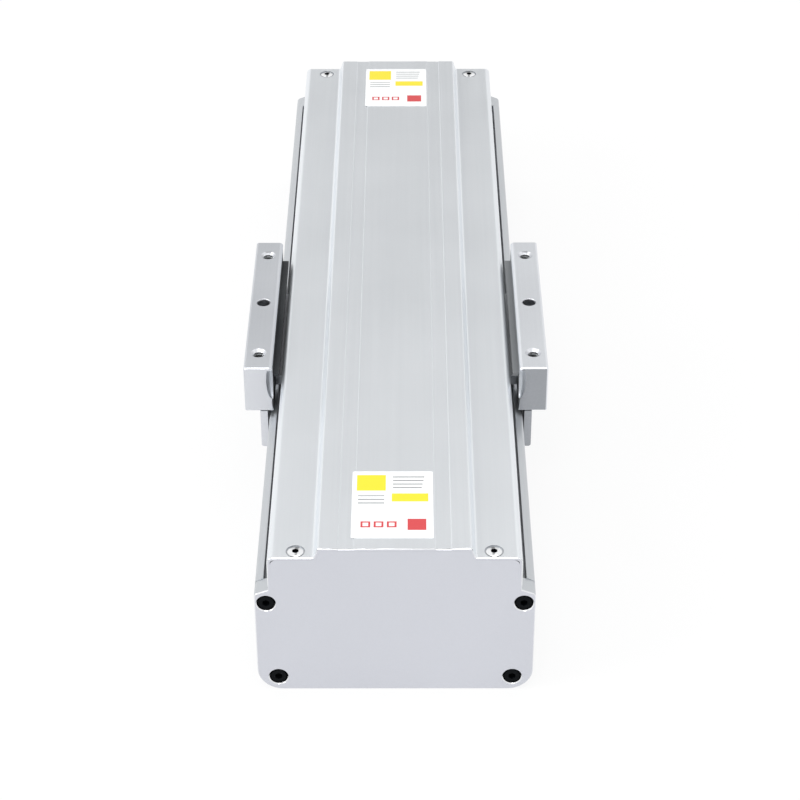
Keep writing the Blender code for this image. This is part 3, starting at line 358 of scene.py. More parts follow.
# %% A finish
class Finish(Board):
    """A material: constants on the shader's own sockets, and what changes over the surface as wires."""

    def __init__(self, name, **constants):
        self.material = bpy.data.materials.new(name)
        super().__init__(self.material)
        self.shader = self.tree.nodes["Principled BSDF"]
        for socket, value in constants.items():
            self.shader.inputs[socket.replace("_", " ")].default_value = value
        self.place = self.node("TexCoord", output="Object")

    def axes(self):
        """X, Y and Z of the point as three wires."""
        split = self.node("SeparateXYZ", values={0: self.place})
        return [Wire(self, split.socket.node.outputs[axis]) for axis in range(3)]

    def noise(self, size, detail=2.0, stretch=(1, 1, 1)):
        """Soft random values from 0 to 1, in patches of about that size in metres."""
        at = self.node("Mapping", values={"Vector": self.place, "Scale": stretch})
        return self.node("TexNoise", values={"Vector": at, "Scale": 1 / size, "Detail": detail})

    def show(self, colour, roughness, height, relief, strength):
        """Join the wires to the shader."""
        bump = self.node("Bump", values={"Height": height, "Distance": relief, "Strength": strength})
        for socket, wire in (("Base Color", colour), ("Roughness", roughness), ("Normal", bump)):
            self.feed(self.shader.inputs[socket], wire)
        return self.material


def shade(red, green, blue):
    """A colour picked on a screen, 0 to 255, as the linear colour that Blender reckons in."""
    return tuple((value / 255 / 12.92 if value <= 10 else ((value / 255 + 0.055) / 1.055) ** 2.4)
                 for value in (red, green, blue)) + (1.0,)


print("a mid grey of 188 is", round(shade(188, 188, 188)[0], 3), "in linear light")

# %% [markdown]
# ## Anodised aluminium
# The body, the cover and the carriage are aluminium, blasted with fine glass beads and then anodised. The
# beads leave a dull, even grain of a tenth of a millimetre, the anodising a hard clear skin that keeps the
# metal silvery. A drawn profile also keeps faint lines from its die under that grain. One function makes
# all of these: a pale and a darker tone mixed by cloudy and grainy noise, a grain in the bump, and die
# lines where they are asked for. The light falls off from one side to the other, which a plain studio
# doesn't repeat, so a finish can also carry that falloff as painted light and shade, a tone that changes across
# X.

# %% Blasted and anodised
def anodised(name, pale, dark, roughness=0.40, lines=0.0, painted_falloff=0.0):
    """Bead blasted, anodised aluminium, by choice with die lines along Y and a painted light falloff across X.
    """
    finish = Finish(name, Metallic=0.88, IOR=1.45)
    cloud = finish.noise(0.060, 3.0)
    grain = finish.noise(0.00022, 2.0)
    drawn = finish.noise(0.0009, 3.0, stretch=(1, 0.006, 1))
    tone = cloud * 0.45 + grain * (0.40 - lines / 2) + drawn * (0.15 + lines / 2)
    # Painted light and shade: the tone rises or falls along X, so one side comes out paler and the other
    # darker.
    tone = tone + finish.axes()[0] * (painted_falloff / 0.130)
    colour = finish.blend(tone, dark, pale)
    rough = roughness + (cloud - 0.5) * 0.06 + (grain - 0.5) * 0.08 + (drawn - 0.5) * lines * 0.2
    return finish.show(colour, rough, grain + drawn * lines, 0.000012, 0.55)


BODY_METAL = anodised("Anodised extrusion", shade(210, 213, 216), shade(188, 192, 196), 0.38, 0.5)
COVER_METAL = anodised("Anodised cover", shade(240, 243, 246), shade(226, 230, 234), 0.38, 0.35)
END_METAL = anodised("Anodised end plate", shade(217, 219, 226), shade(199, 201, 208), 0.42)
# The carriage's tone carries a painted light falloff across X: paler on the right, darker on the left.
CARRIAGE_METAL = anodised("Anodised carriage", shade(236, 239, 243), shade(196, 199, 204), 0.40, painted_falloff=0.5)
# Painted shade: the wings' inner sides and ledges are darkened for the shade in the gap beside the cover,
# darkest on the left.
INNER_PAINTED_SHADE = anodised("Anodised inner sides, painted shade", shade(150, 153, 156), shade(56, 59, 62), 0.44, painted_falloff=1.0)
# Painted shade: the milled ends and the flags fall off across X, pale on the left and darker on the right.
MILLED_PAINTED_SHADE = anodised("Anodised milled ends, painted shade across X", shade(222, 224, 229), shade(164, 167, 172), 0.36, painted_falloff=-0.9)
FITTING_METAL = anodised("Anodised fittings", shade(204, 207, 210), shade(184, 187, 191), 0.42)
print("seven tones of anodised aluminium")

# %% [markdown]
# ## Steel
# Steel shows how it was made. A rail is ground along its length, so its sheen breaks into long fine
# streaks. A screw, a ring and a nut are turned or ground round their line, so the marks are rings. Small
# screws are blackened in hot oxide, which leaves a dark, slightly uneven skin. The domed cover screws are
# stainless and polished. Aluminium that is drilled, tapped or chamfered after it was anodised is bare and
# marked in the same ways, so the same functions make its finishes too.

# %% Ground, turned, blackened and polished steel
SCREW_LINE = 32.0 * MM


def ground_steel(name, pale, dark, roughness):
    """Steel ground along Y."""
    finish = Finish(name, Metallic=1.0)
    streak = finish.noise(0.00035, 4.0, stretch=(1, 0.01, 1))
    cloud = finish.noise(0.030, 2.0)
    colour = finish.blend(streak * 0.6 + cloud * 0.4, dark, pale)
    return finish.show(colour, roughness + (streak - 0.5) * 0.22, streak, 0.000004, 0.4)


def turned_steel(name, pale, dark, roughness):
    """Metal turned about the screw's line, with rings as tool marks."""
    finish = Finish(name, Metallic=1.0)
    x, y, z = finish.axes()
    reach = (x ** 2 + (z - SCREW_LINE) ** 2) ** 0.5
    rings = ((reach + y * 0.7) * (math.tau / 0.00028)).sine() * 0.5 + 0.5
    cloud = finish.noise(0.008, 3.0)
    colour = finish.blend(rings * 0.35 + cloud * 0.65, dark, pale)
    return finish.show(colour, roughness + (cloud - 0.5) * 0.12 + (rings - 0.5) * 0.06, rings, 0.000003, 0.35)


def blackened_steel():
    """Steel in black oxide, a little paler where the skin is thin."""
    finish = Finish("Black oxide steel", Metallic=0.0, Specular_IOR_Level=0.06)
    patch, grain = finish.noise(0.0022, 3.0), finish.noise(0.00015, 2.0)
    colour = finish.blend(patch, shade(6, 9, 12), shade(13, 15, 18))
    return finish.show(colour, 0.42 + patch * 0.16, grain, 0.000008, 0.4)


def polished_steel():
    """Stainless steel, polished in a drum, with faint hairlines."""
    finish = Finish("Polished stainless steel", Metallic=1.0)
    hair = finish.noise(0.0002, 3.0, stretch=(1, 0.15, 1))
    colour = finish.blend(hair, shade(238, 239, 241), shade(248, 249, 250))
    return finish.show(colour, 0.07 + hair * 0.08, hair, 0.000002, 0.3)


RAIL_STEEL = ground_steel("Ground rail steel", shade(196, 198, 201), shade(160, 162, 166), 0.24)
BLOCK_STEEL = ground_steel("Ground block steel", shade(182, 184, 188), shade(150, 152, 156), 0.30)
SCREW_STEEL = turned_steel("Ground screw steel", shade(200, 201, 203), shade(158, 159, 162), 0.20)
RING_STEEL = turned_steel("Bearing ring steel", shade(206, 207, 209), shade(178, 179, 182), 0.16)
HUB_METAL = turned_steel("Turned aluminium", shade(214, 216, 219), shade(186, 188, 192), 0.30)
# Painted shade: a darker tone for the walls inside the end plates' counterbores, where shade falls.
BORE_PAINTED_SHADE = turned_steel("Drilled aluminium, painted shade", shade(116, 119, 123), shade(88, 91, 95), 0.34)
MOUTH_METAL = turned_steel("Chamfered mouth", shade(226, 228, 232), shade(196, 198, 202), 0.42)
THREAD_METAL = turned_steel("Cut thread", shade(248, 249, 250), shade(226, 228, 230), 0.26)
CUT_METAL = ground_steel("Cut aluminium edge", shade(246, 247, 248), shade(226, 228, 231), 0.20)
OXIDE_STEEL = blackened_steel()
STAINLESS = polished_steel()
print("eleven steels and cut metals")

# %% [markdown]
# ## Rubber and plastic
# The bumpers are black rubber, moulded, so they are dull with a fine skin and a grey bloom. The coupling's
# spider is cast polyurethane, a clear strong orange with a slight gloss. The end covers of the runner
# blocks are black moulded plastic. They differ mostly in how rough they are and in the size of their grain.

# %% Moulded materials
def moulded(name, pale, dark, roughness, grain_size, relief):
    """Rubber or plastic from a mould."""
    finish = Finish(name, Metallic=0.0)
    bloom, grain = finish.noise(0.006, 3.0), finish.noise(grain_size, 2.0)
    colour = finish.blend(bloom * 0.7 + grain * 0.3, dark, pale)
    return finish.show(colour, roughness + (bloom - 0.5) * 0.15, grain, relief, 0.6)


RUBBER = moulded("Black rubber", shade(52, 52, 53), shade(30, 30, 31), 0.78, 0.0003, 0.00003)
PLASTIC = moulded("Black moulded plastic", shade(40, 41, 43), shade(26, 27, 28), 0.48, 0.0004, 0.00001)
SPIDER = moulded("Orange polyurethane", shade(214, 92, 42), shade(190, 72, 30), 0.38, 0.0008, 0.00001)
print("three moulded materials")

# %% [markdown]
# ## Finishes for the solids that stay
# Most of the exact solids already have the right shape, so they keep it and only get their finish. Each CAD
# object has a material slot of its own, and putting a new material in that slot is all it takes.

# %% Dress the solids
DRESS = {
    "base_extrusion": BODY_METAL,
    "nut_bracket": FITTING_METAL, "idle_bearing_housing": FITTING_METAL, "drive_bearing_housing": FITTING_METAL,
    "guide_rail_left": RAIL_STEEL, "guide_rail_right": RAIL_STEEL,
    "runner_block_idle_left": BLOCK_STEEL, "runner_block_idle_right": BLOCK_STEEL,
    "runner_block_motor_left": BLOCK_STEEL, "runner_block_motor_right": BLOCK_STEEL,
    "ball_nut": SCREW_STEEL,
    "idle_bearing_outer_ring": RING_STEEL, "idle_bearing_inner_ring": RING_STEEL,
    "drive_bearing_outer_ring_first": RING_STEEL, "drive_bearing_outer_ring_second": RING_STEEL,
    "drive_bearing_inner_ring_first": RING_STEEL, "drive_bearing_inner_ring_second": RING_STEEL,
    "retaining_ring": OXIDE_STEEL, "bearing_lock_nut": OXIDE_STEEL, "drive_bearing_cover": HUB_METAL,
    "coupling_hub_screw_side": HUB_METAL, "coupling_hub_motor_side": HUB_METAL, "coupling_spider": SPIDER,
    "idle_bumper": RUBBER, "drive_bumper": RUBBER,
}


def dress(piece, material):
    """Give a piece one material."""
    piece.data.materials.clear()
    piece.data.materials.append(material)
    return piece


for node, material in DRESS.items():
    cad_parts[node].material_slots[0].material = material
print(len(DRESS), "solids keep their shape")

# %% [markdown]
# ## The top cover
# The cover is a drawn aluminium sheet: a raised plateau, two short ramps, flat shoulders and short sides
# that hang over the slot for the carriage. It could be extruded as one long profile, but folding it up from
# a flat strip shows how such a section works. The plateau is a plane, and its two long edges are extruded
# down the ramp, out along the shoulder and down the side. Solidify then gives the sheet its thickness, and
# each fold is rounded to its own radius.

# %% Fold the cover
cover_low, cover_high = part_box("top_cover")
NEAR, FAR = cover_low.y, cover_high.y
TOP, HALF, SKIRT = cover_high.z, cover_high.x, cover_low.z
SHEET, SHOULDER, PLATEAU, RAMP = 1.4 * MM, 73.1 * MM, 32.4 * MM, 1.7 * MM


def fold_cover():
    """The sheet of the cover, sharp at its folds."""
    cover = add(bpy.ops.mesh.primitive_plane_add, "cover_sheet", (2 * PLATEAU, FAR - NEAR, 1), size=1,
                location=(0, (NEAR + FAR) / 2, TOP))
    with editing(cover):
        for side in (-1, 1):
            pick("edges", lambda edge: near(middle(edge).x, side * PLATEAU))
            extrude(side * RAMP, 0, SHOULDER - TOP)
            extrude(side * (HALF - PLATEAU - RAMP))
            extrude(0, 0, SKIRT - SHOULDER)
        face_outwards()
    if cover.data.polygons[0].normal.z < 0:
        with editing(cover):
            bpy.ops.mesh.flip_normals()
    modify(cover, "SOLIDIFY", thickness=SHEET, offset=-1, use_even_offset=True, use_quality_normals=True)
    return cover


cover = fold_cover()
print("cover sheet", [round(1000 * value, 1) for value in cover.dimensions], "mm")

# %% [markdown]
# ## Channels, rounded folds and screw holes in the cover
# Two shallow channels run along the plateau. They are four lines bisected across the sheet on each side,
# with the strip between them pushed down. Each fold is an edge along Y, found by its place and bevelled
# with five to eight steps. For a fold of 90 degrees the bevel's offset is the radius, and for a ramp it is
# less, by the tangent of half the turn. At both ends the outer edges are broken, where the light makes a thin
# bright line, and the inner ones a little less, which leaves a fine dark seam above the end plate. The holes
# for the four cover screws are drilled with a shallow seat. The cut chamfers and the end faces get finishes of
# their own, and the walls and floor of each seat the darker fittings tone as painted shade.

# %% Finish the cover
CHANNEL, CHANNEL_DEPTH = (17.0 * MM, 17.2 * MM, 23.8 * MM, 24.0 * MM), 0.2 * MM
END_BREAK, SEAM_BREAK = 0.45 * MM, 0.3 * MM
COVER_FOLD, PLATEAU_FOLD, RAMP_FOLD = 2.8 * MM, 0.8 * MM, 1.2 * MM
SCREW_X, SCREW_NEAR, SCREW_FAR = 41.9 * MM, 4.6 * MM, 7.2 * MM
SEAT, SEAT_DEPTH, SCREW_ROOM = 8.2 * MM, 0.55 * MM, 4.6 * MM
COVER_SCREWS = {f"{end}_{side}": (sign * SCREW_X, y)
                for end, y in (("idle", NEAR + SCREW_NEAR), ("motor", FAR - SCREW_FAR))
                for side, sign in (("left", -1), ("right", 1))}


def along_y(edge, x, z):
    """Whether an edge runs along Y at that place, on either side."""
    first, second = (vertex.co for vertex in edge.verts)
    spot = (first + second) / 2
    return near(first.x, second.x) and near(first.z, second.z) and near(abs(spot.x), x) and near(spot.z, z)


def round_fold(x, z, radius, turn=90.0, steps=8):
    """Round the folds at both sides."""
    pick("edges", lambda edge: along_y(edge, x, z))
    bevel(radius * math.tan(math.radians(turn / 2)), steps, clamp_overlap=False)


def at_end(edge, ends):
    """Whether an edge lies in one of the end planes."""
    return any(near(vertex_0.co.y, end) and near(vertex_1.co.y, end)
               for end in ends for vertex_0, vertex_1 in [edge.verts])


def looks_out(edge):
    """Whether one face at an edge of an end looks up or sideways, away from the middle."""
    return any(abs(face.normal.y) < 0.5 and
               (face.normal.z > 0.05 or face.normal.x * middle(face).x > 0.5 * abs(middle(face).x))
               for face in edge.link_faces)


def repaint(piece, question, metal):
    """Give some faces of a piece another finish."""
    piece.data.materials.append(metal)
    with editing(piece):
        found = pick("faces", question)
        piece.active_material_index = len(piece.data.materials) - 1
        bpy.ops.object.material_slot_assign()
    return found


def at_end_plane(face, ends):
    """Whether a face lies in one of the end planes."""
    return any(abs(middle(face).y - end) < 0.05 * MM for end in ends)


def end_chamfer(face, ends):
    """Whether a face is part of the chamfer round an end."""
    return 0.5 < abs(face.normal.y) < 0.9 and any(abs(middle(face).y - end) < MM for end in ends)


def finish_cover():
    """Channels, rounded folds, holes and broken edges."""
    with editing(cover):
        for side in (-1, 1):
            for line in CHANNEL:
                slice_at((side * line, 0, 0), (1, 0, 0))
        pick("verts", lambda vertex: near(vertex.co.z, TOP)
             and any(near(abs(vertex.co.x), line) for line in CHANNEL[1:3]))
        move(z=-CHANNEL_DEPTH)
        slope = math.degrees(math.atan2(TOP - SHOULDER, RAMP))
        round_fold(PLATEAU, TOP, PLATEAU_FOLD, slope, 5)
        round_fold(PLATEAU + RAMP, SHOULDER, RAMP_FOLD, slope, 5)
        round_fold(HALF, SHOULDER, COVER_FOLD)
        round_fold(HALF - SHEET, SHOULDER - SHEET, COVER_FOLD - SHEET, steps=6)
        pick("edges", lambda edge: at_end(edge, (NEAR, FAR)) and looks_out(edge))
        bevel(END_BREAK, clamp_overlap=True)
        pick("edges", lambda edge: at_end(edge, (NEAR, FAR)) and not looks_out(edge)
             and middle(edge).z > SKIRT + MM)
        bevel(SEAM_BREAK, clamp_overlap=True)
    for diameter, foot in ((SCREW_ROOM, SHOULDER - 2 * SHEET), (SEAT, SHOULDER - SEAT_DEPTH)):
        combine(cover, [bar_between(f"drill {name}", diameter, (x, y, foot), (x, y, TOP), 64)
                        for name, (x, y) in COVER_SCREWS.items()])
    soften(cover, 0)
    dress(cover, COVER_METAL)
    repaint(cover, lambda face: end_chamfer(face, (NEAR, FAR)) and face.normal.z > -0.5, CUT_METAL)
    repaint(cover, lambda face: near(abs(face.normal.y), 1) and at_end_plane(face, (NEAR, FAR)), END_METAL)
    # Painted shade: the walls and floor of each screw seat get the darker fittings tone.
    repaint(cover, lambda face: SHOULDER - SHEET < middle(face).z < SHOULDER - 0.02 * MM and any(
        math.dist(middle(face).xy, spot) < SEAT / 2 for spot in COVER_SCREWS.values()), FITTING_METAL)
    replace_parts(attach(cover, "base"), "top_cover")
    return len(cover.data.polygons)


print("cover faces:", finish_cover())

# %% [markdown]
# ## The end plates
# Each end is a milled plate with the outline of the body below and the inside of the cover above. The plate
# starts as a box up to the side walls. Bisected lines on its top mark the steps, and the strips between
# them are extruded up level by level, the way the outline climbs. The bisected lines that no longer matter
# are dissolved, because they would cross the wide bevel of the lower corners and leave a torn mesh. Only
# the outer rim is chamfered. The holes are drilled, and a cone breaks the rim of each one.

# %% Shape an end plate
SEAM, CORNER_GAP = 0.02 * MM, 0.8 * MM
WALL_OUT, WALL_IN, BODY_HALF = 53.3 * MM, 55.6 * MM, 60.0 * MM
FOOT_RADIUS, WALL_RADIUS, PLATE_BREAK = 11.0 * MM, 2.0 * MM, 0.4 * MM


def raise_strip(half, top, rise_to):
    """Extrude the faces of one level between two lines up to the next."""
    pick("faces", lambda face: near(middle(face).z, top) and abs(middle(face).x) < half and face.normal.z > 0.9)
    extrude(z=rise_to - top)


def plate_blank(name, start, end):
    """The outline of an end, as a plate between two places along Y."""
    turn = math.tan(math.atan2(TOP - SHOULDER, RAMP) / 2)
    inner, foot = HALF - SHEET - SEAM, PLATEAU + RAMP - SHEET * turn - SEAM
    plate = box_between(name, (-BODY_HALF, start, 0), (BODY_HALF, end, WALL_OUT))
    with editing(plate):
        for line in (-HALF, -inner, -foot, foot, inner, HALF):
            slice_at((line, 0, 0), (1, 0, 0))
        pick("verts", lambda vertex: near(vertex.co.z, WALL_OUT) and abs(vertex.co.x) < HALF + MM)
        move(z=WALL_IN - WALL_OUT)
        raise_strip(HALF, WALL_IN, SKIRT - SEAM)
        raise_strip(inner, SKIRT - SEAM, SHOULDER - SHEET - SEAM)
        raise_strip(foot, SHOULDER - SHEET - SEAM, TOP - SHEET - SEAM)
        for side in (-1, 1):
            pick("verts", lambda vertex: near(vertex.co.z, TOP - SHEET - SEAM)
                 and near(vertex.co.x, side * foot))
            move(x=-side * RAMP)
        everything()
        bpy.ops.mesh.dissolve_limited(angle_limit=math.radians(0.5), use_dissolve_boundaries=True)
        round_fold(BODY_HALF, 0, FOOT_RADIUS, steps=14)
        round_fold(BODY_HALF, WALL_OUT, WALL_RADIUS, 69.0, 6)
        round_fold(inner, SHOULDER - SHEET - SEAM, COVER_FOLD - SHEET + CORNER_GAP, steps=6)
        outer = start if start < 0 else end
        pick("edges", lambda edge: at_end(edge, (outer,)) and middle(edge).z < SKIRT - SEAM - 0.01 * MM)
        bevel(PLATE_BREAK, clamp_overlap=True)
    return plate


UPPER, LOWER = (55.0 * MM, 48.4 * MM), (50.9 * MM, 7.2 * MM)
PORTS = {f"{level}_{side}": (sign * x, z) for level, (x, z) in (("upper", UPPER), ("lower", LOWER))
         for side, sign in (("left", -1), ("right", 1))}
BORE, BORE_DEPTH, HOLE, RIM = 8.0 * MM, 4.6 * MM, 4.4 * MM, 0.9 * MM


def drill_plate(plate, face, inward):
    """Four counterbored holes, and the cover screws' holes in the top."""
    cutters = []
    for name, (x, z) in PORTS.items():
        over, start, rim, seat, past = (face + inward * reach
                                        for reach in (-MM, -0.1 * MM, 0.8 * MM, BORE_DEPTH, 30 * MM))
        cutters += [bar_between(f"{name} bore", BORE, (x, over, z), (x, seat, z), 64),
                    bar_between(f"{name} hole", HOLE, (x, over, z), (x, past, z), 32),
                    cone_between(f"{name} rim", (x, start, z), (x, rim, z), BORE + RIM, BORE - RIM)]
    for name, (x, y) in COVER_SCREWS.items():
        if abs(y - face) < 15 * MM:
            cutters.append(bar_between(f"{name} tap", HOLE, (x, y, SHOULDER - 9.6 * MM), (x, y, TOP), 32))
    combine(plate, cutters)
    soften(plate, 0)
    dress(plate, END_METAL)
    repaint(plate, lambda item: item.normal.z > 0.3 and middle(item).z < SKIRT - MM, BODY_METAL)
    repaint(plate, lambda item: end_chamfer(item, (face,)), CUT_METAL)
    # Painted shade: the counterbore walls take the darker bore tone.
    repaint(plate, lambda item: (middle(item).y - face) * inward > 0.33 * MM and any(
        math.dist((middle(item).x, middle(item).z), port) < 4.05 * MM for port in PORTS.values()), BORE_PAINTED_SHADE)
    return plate


# %% Idle end cap
cap_low, cap_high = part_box("idle_end_cap")
body_low, body_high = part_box("base_extrusion")
idle_cap = drill_plate(plate_blank("idle_cap_plate", cap_low.y, body_low.y - SEAM), cap_low.y, 1)
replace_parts(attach(idle_cap, "base"), "idle_end_cap")
print("idle cap faces:", len(idle_cap.data.polygons))

# %% [markdown]
# ## The motor plate
# The motor plate is the same outline, thicker, with a bore in which the motor's collar is centred and four
# tapped holes on a 70 mm circle. The bore gets a wide lead-in, made by bevelling nothing but its rim: a
# larger drill that only just enters the face leaves a step, and a cone leaves a proper lead-in, so the
# cutter here is a cone.

# %% Motor plate
PILOT, PILOT_MOUTH, PILOT_THROAT = 50 * MM, 52.2 * MM, 49.8 * MM
MOTOR_REACH, MOTOR_TAP, MOTOR_MOUTH, MOTOR_THROAT = 35 * MM, 5.0 * MM, 6.2 * MM, 4.8 * MM
MOTOR_HOLES = [(MOTOR_REACH * math.cos(angle), SCREW_LINE + MOTOR_REACH * math.sin(angle))
               for angle in (math.radians(45 + 90 * corner) for corner in range(4))]


def make_motor_plate():
    """The plate with pilot bore and motor holes."""
    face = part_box("motor_plate")[1].y
    plate = drill_plate(plate_blank("motor_end_plate", body_high.y + SEAM, face), face, -1)
    over, past = face + MM, face - 30 * MM
    cutters = [bar_between("pilot", PILOT, (0, over, SCREW_LINE), (0, past, SCREW_LINE), 96),
               cone_between("lead in", (0, face + 0.2 * MM, SCREW_LINE), (0, face - 1.0 * MM, SCREW_LINE),
                            PILOT_MOUTH, PILOT_THROAT, 96)]
    for x, z in MOTOR_HOLES:
        cutters += [bar_between("motor hole", MOTOR_TAP, (x, over, z), (x, past, z), 32),
                    cone_between("sink", (x, face + 0.1 * MM, z), (x, face - 0.6 * MM, z),
                                 MOTOR_MOUTH, MOTOR_THROAT, 32)]
    combine(plate, cutters)
    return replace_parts(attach(soften(plate, 0), "base"), "motor_plate")


print("motor plate faces:", len(make_motor_plate().data.polygons))

# %% [markdown]
# ## The carriage
# The carriage is milled from one block: a thick plate under the cover, thin arms that pass through the side
# gaps, and a wing along each side with the mounting holes. The plate is a box, bisected at the height and
# the length of the arms, so that the arms can be extruded from its sides. A wing is a box as well, rounded
# along its length and with a chamfer round each end. At each end of its inner side a ball-ended cutter has
# left a hollow, which here is a stretched sphere with its top cut off, and a thin ledge stands out from it
# over the edge of the cover.

# %% Plate and arms
carriage_low, carriage_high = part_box("carriage")
REST = (carriage_low.y + carriage_high.y) / 2
WING_IN, WING_OUT = 58.0 * MM, carriage_high.x
WING_LOW, WING_TOP = 55.7 * MM, carriage_high.z
PLATE_HALF, PLATE_LENGTH, PLATE_TOP = 50.4 * MM, 108.0 * MM, 62.4 * MM
ARM_LOW, ARM_TOP, ARM_LENGTH = 56.6 * MM, 61.9 * MM, 74.2 * MM


def make_plate():
    """The plate with its arms."""
    near_end, far_end = REST - PLATE_LENGTH / 2, REST + PLATE_LENGTH / 2
    plate = box_between("carriage_body", (-PLATE_HALF, near_end, carriage_low.z),
                        (PLATE_HALF, far_end, PLATE_TOP))
    with editing(plate):
        for height in (ARM_LOW, ARM_TOP):
            slice_at((0, 0, height), (0, 0, 1))
        for end in (-1, 1):
            slice_at((0, REST + end * ARM_LENGTH / 2, 0), (0, 1, 0))
        for side in (-1, 1):
            pick("faces", lambda face: face.normal.x * side > 0.9 and ARM_LOW < middle(face).z < ARM_TOP
                 and abs(middle(face).y - REST) < ARM_LENGTH / 2)
            extrude(side * (WING_IN + MM - PLATE_HALF))
    return plate


# %% A wing
SCOOP = Vector((3.0, 4.5, 10.0)) * MM
SCOOP_HEIGHT, SCOOP_TOP = 72.5 * MM, 78.4 * MM
LEDGE_IN, LEDGE_LOW, LEDGE_TOP, LEDGE_LENGTH = 55.1 * MM, 71.2 * MM, 72.7 * MM, 103.4 * MM
WING_FOLDS = ((WING_OUT, WING_TOP, 1.0), (WING_OUT, WING_LOW, 0.8), (WING_IN, WING_TOP, 1.8))
WING_BREAK = 0.6 * MM


def make_wing():
    """The right wing: a bar with a hollow at each inner end, and its ledge."""
    wing = box_between("wing", (WING_IN, carriage_low.y, WING_LOW), (WING_OUT, carriage_high.y, WING_TOP))
    with editing(wing):
        for x, z, radius in WING_FOLDS:
            pick("edges", lambda edge: along_y(edge, x, z))
            bevel(radius * MM, 8)
        pick("edges", lambda edge: at_end(edge, (carriage_low.y, carriage_high.y)))
        bevel(WING_BREAK, clamp_overlap=False)
    scoops = []
    for end in (carriage_low.y, carriage_high.y):
        scoops.append(add(bpy.ops.mesh.primitive_uv_sphere_add, "scoop", segments=64, ring_count=48, radius=1,
                          scale=SCOOP, location=(WING_IN, end, SCOOP_HEIGHT)))
        with editing(scoops[-1]):
            slice_at((0, 0, SCOOP_TOP), (0, 0, 1), use_fill=True, clear_outer=True)
    combine(wing, scoops)
    ledge = box_between("ledge", (LEDGE_IN, REST - LEDGE_LENGTH / 2, LEDGE_LOW),
                        (WING_IN + MM, REST + LEDGE_LENGTH / 2, LEDGE_TOP))
    print("wing", [round(1000 * value, 1) for value in wing.dimensions], "mm")
    return combine(wing, [ledge], "UNION")


# %% Holes of the carriage
TABLE_X, TABLE_PITCH = 64.9 * MM, 45.0 * MM
TAP_DEPTH, TAP_MAJOR, TAP_MINOR, TAP_MOUTH = 15.0 * MM, 6.0 * MM, 5.0 * MM, 7.6 * MM
DOWEL, DOWEL_DEPTH, DOWEL_MOUTH = 6 * MM, 10 * MM, 8.0 * MM
CONE_DEPTH = (TAP_MOUTH - TAP_MINOR) / 2
RAIL_LINE, BLOCK_REACH, BOLT_ACROSS, BOLT_ALONG = 33.5 * MM, 34 * MM, 13 * MM, 9 * MM
BLOCK_BOLTS = [(side * RAIL_LINE + across * BOLT_ACROSS, REST + end * BLOCK_REACH + along * BOLT_ALONG)
               for side in (-1, 1) for end in (-1, 1) for across in (-1, 1) for along in (-1, 1)]
FLANGE_ROOM = Vector((-25.0, -54.45, 0)) * MM, Vector((25.0, -43.3, 20.0)) * MM
TABLE_HOLES = [(side * TABLE_X, REST + end * TABLE_PITCH) for side in (-1, 1) for end in (-1, 0, 1)]


def table_cutters(x, y):
    """Drills for a tapped hole, or for the dowel hole in the middle."""
    over = (x, y, WING_TOP + 0.5 * MM)
    if near(y, REST):
        return [bar_between("dowel drill", DOWEL, over, (x, y, WING_TOP - DOWEL_DEPTH), 64),
                cone_between("dowel mouth", over, (x, y, WING_TOP - 0.5 * MM), DOWEL_MOUTH, DOWEL)]
    below = WING_TOP - CONE_DEPTH - 0.1 * MM
    return [bar_between("tap drill", TAP_MINOR, over, (x, y, below - 0.1 * MM), 64),
            bar_between("tap room", TAP_MAJOR, (x, y, below), (x, y, WING_TOP - TAP_DEPTH), 64),
            cone_between("tap mouth", over, (x, y, WING_TOP - CONE_DEPTH), TAP_MOUTH + MM, TAP_MINOR)]


def in_hole(face, radius):
    """Whether a face lies round the axis of one of the wings' holes."""
    return middle(face).z > WING_TOP - 16 * MM and any(
        all(math.dist(vertex.co.xy, hole) < radius for vertex in face.verts) for hole in TABLE_HOLES)


def in_mouth(face):
    """Whether a face is part of a hole's conical mouth."""
    return 0.5 < face.normal.z < 0.9 and in_hole(face, TAP_MOUTH / 2 + 0.1 * MM)


def in_bore(face):
    """Whether a face is inside a hole, below its mouth."""
    return middle(face).z < WING_TOP - 0.5 * MM and not in_mouth(face) and \
        in_hole(face, TAP_MAJOR / 2 + 0.1 * MM)


# These faces get the painted shade of the gap between wing and cover.
def looks_in(face):
    """Whether a face belongs to a wing's inner side or to its ledge."""
    spot, outward = middle(face), face.normal.x * (1 if middle(face).x > 0 else -1)
    on_ledge = LEDGE_IN - MM < abs(spot.x) < WING_IN + 0.05 * MM and spot.z > LEDGE_LOW - 0.05 * MM
    return (on_ledge or abs(spot.x) < WING_IN + 0.05 * MM and outward < -0.95 and spot.z > WING_LOW) \
        and spot.z < WING_TOP - 1.7 * MM


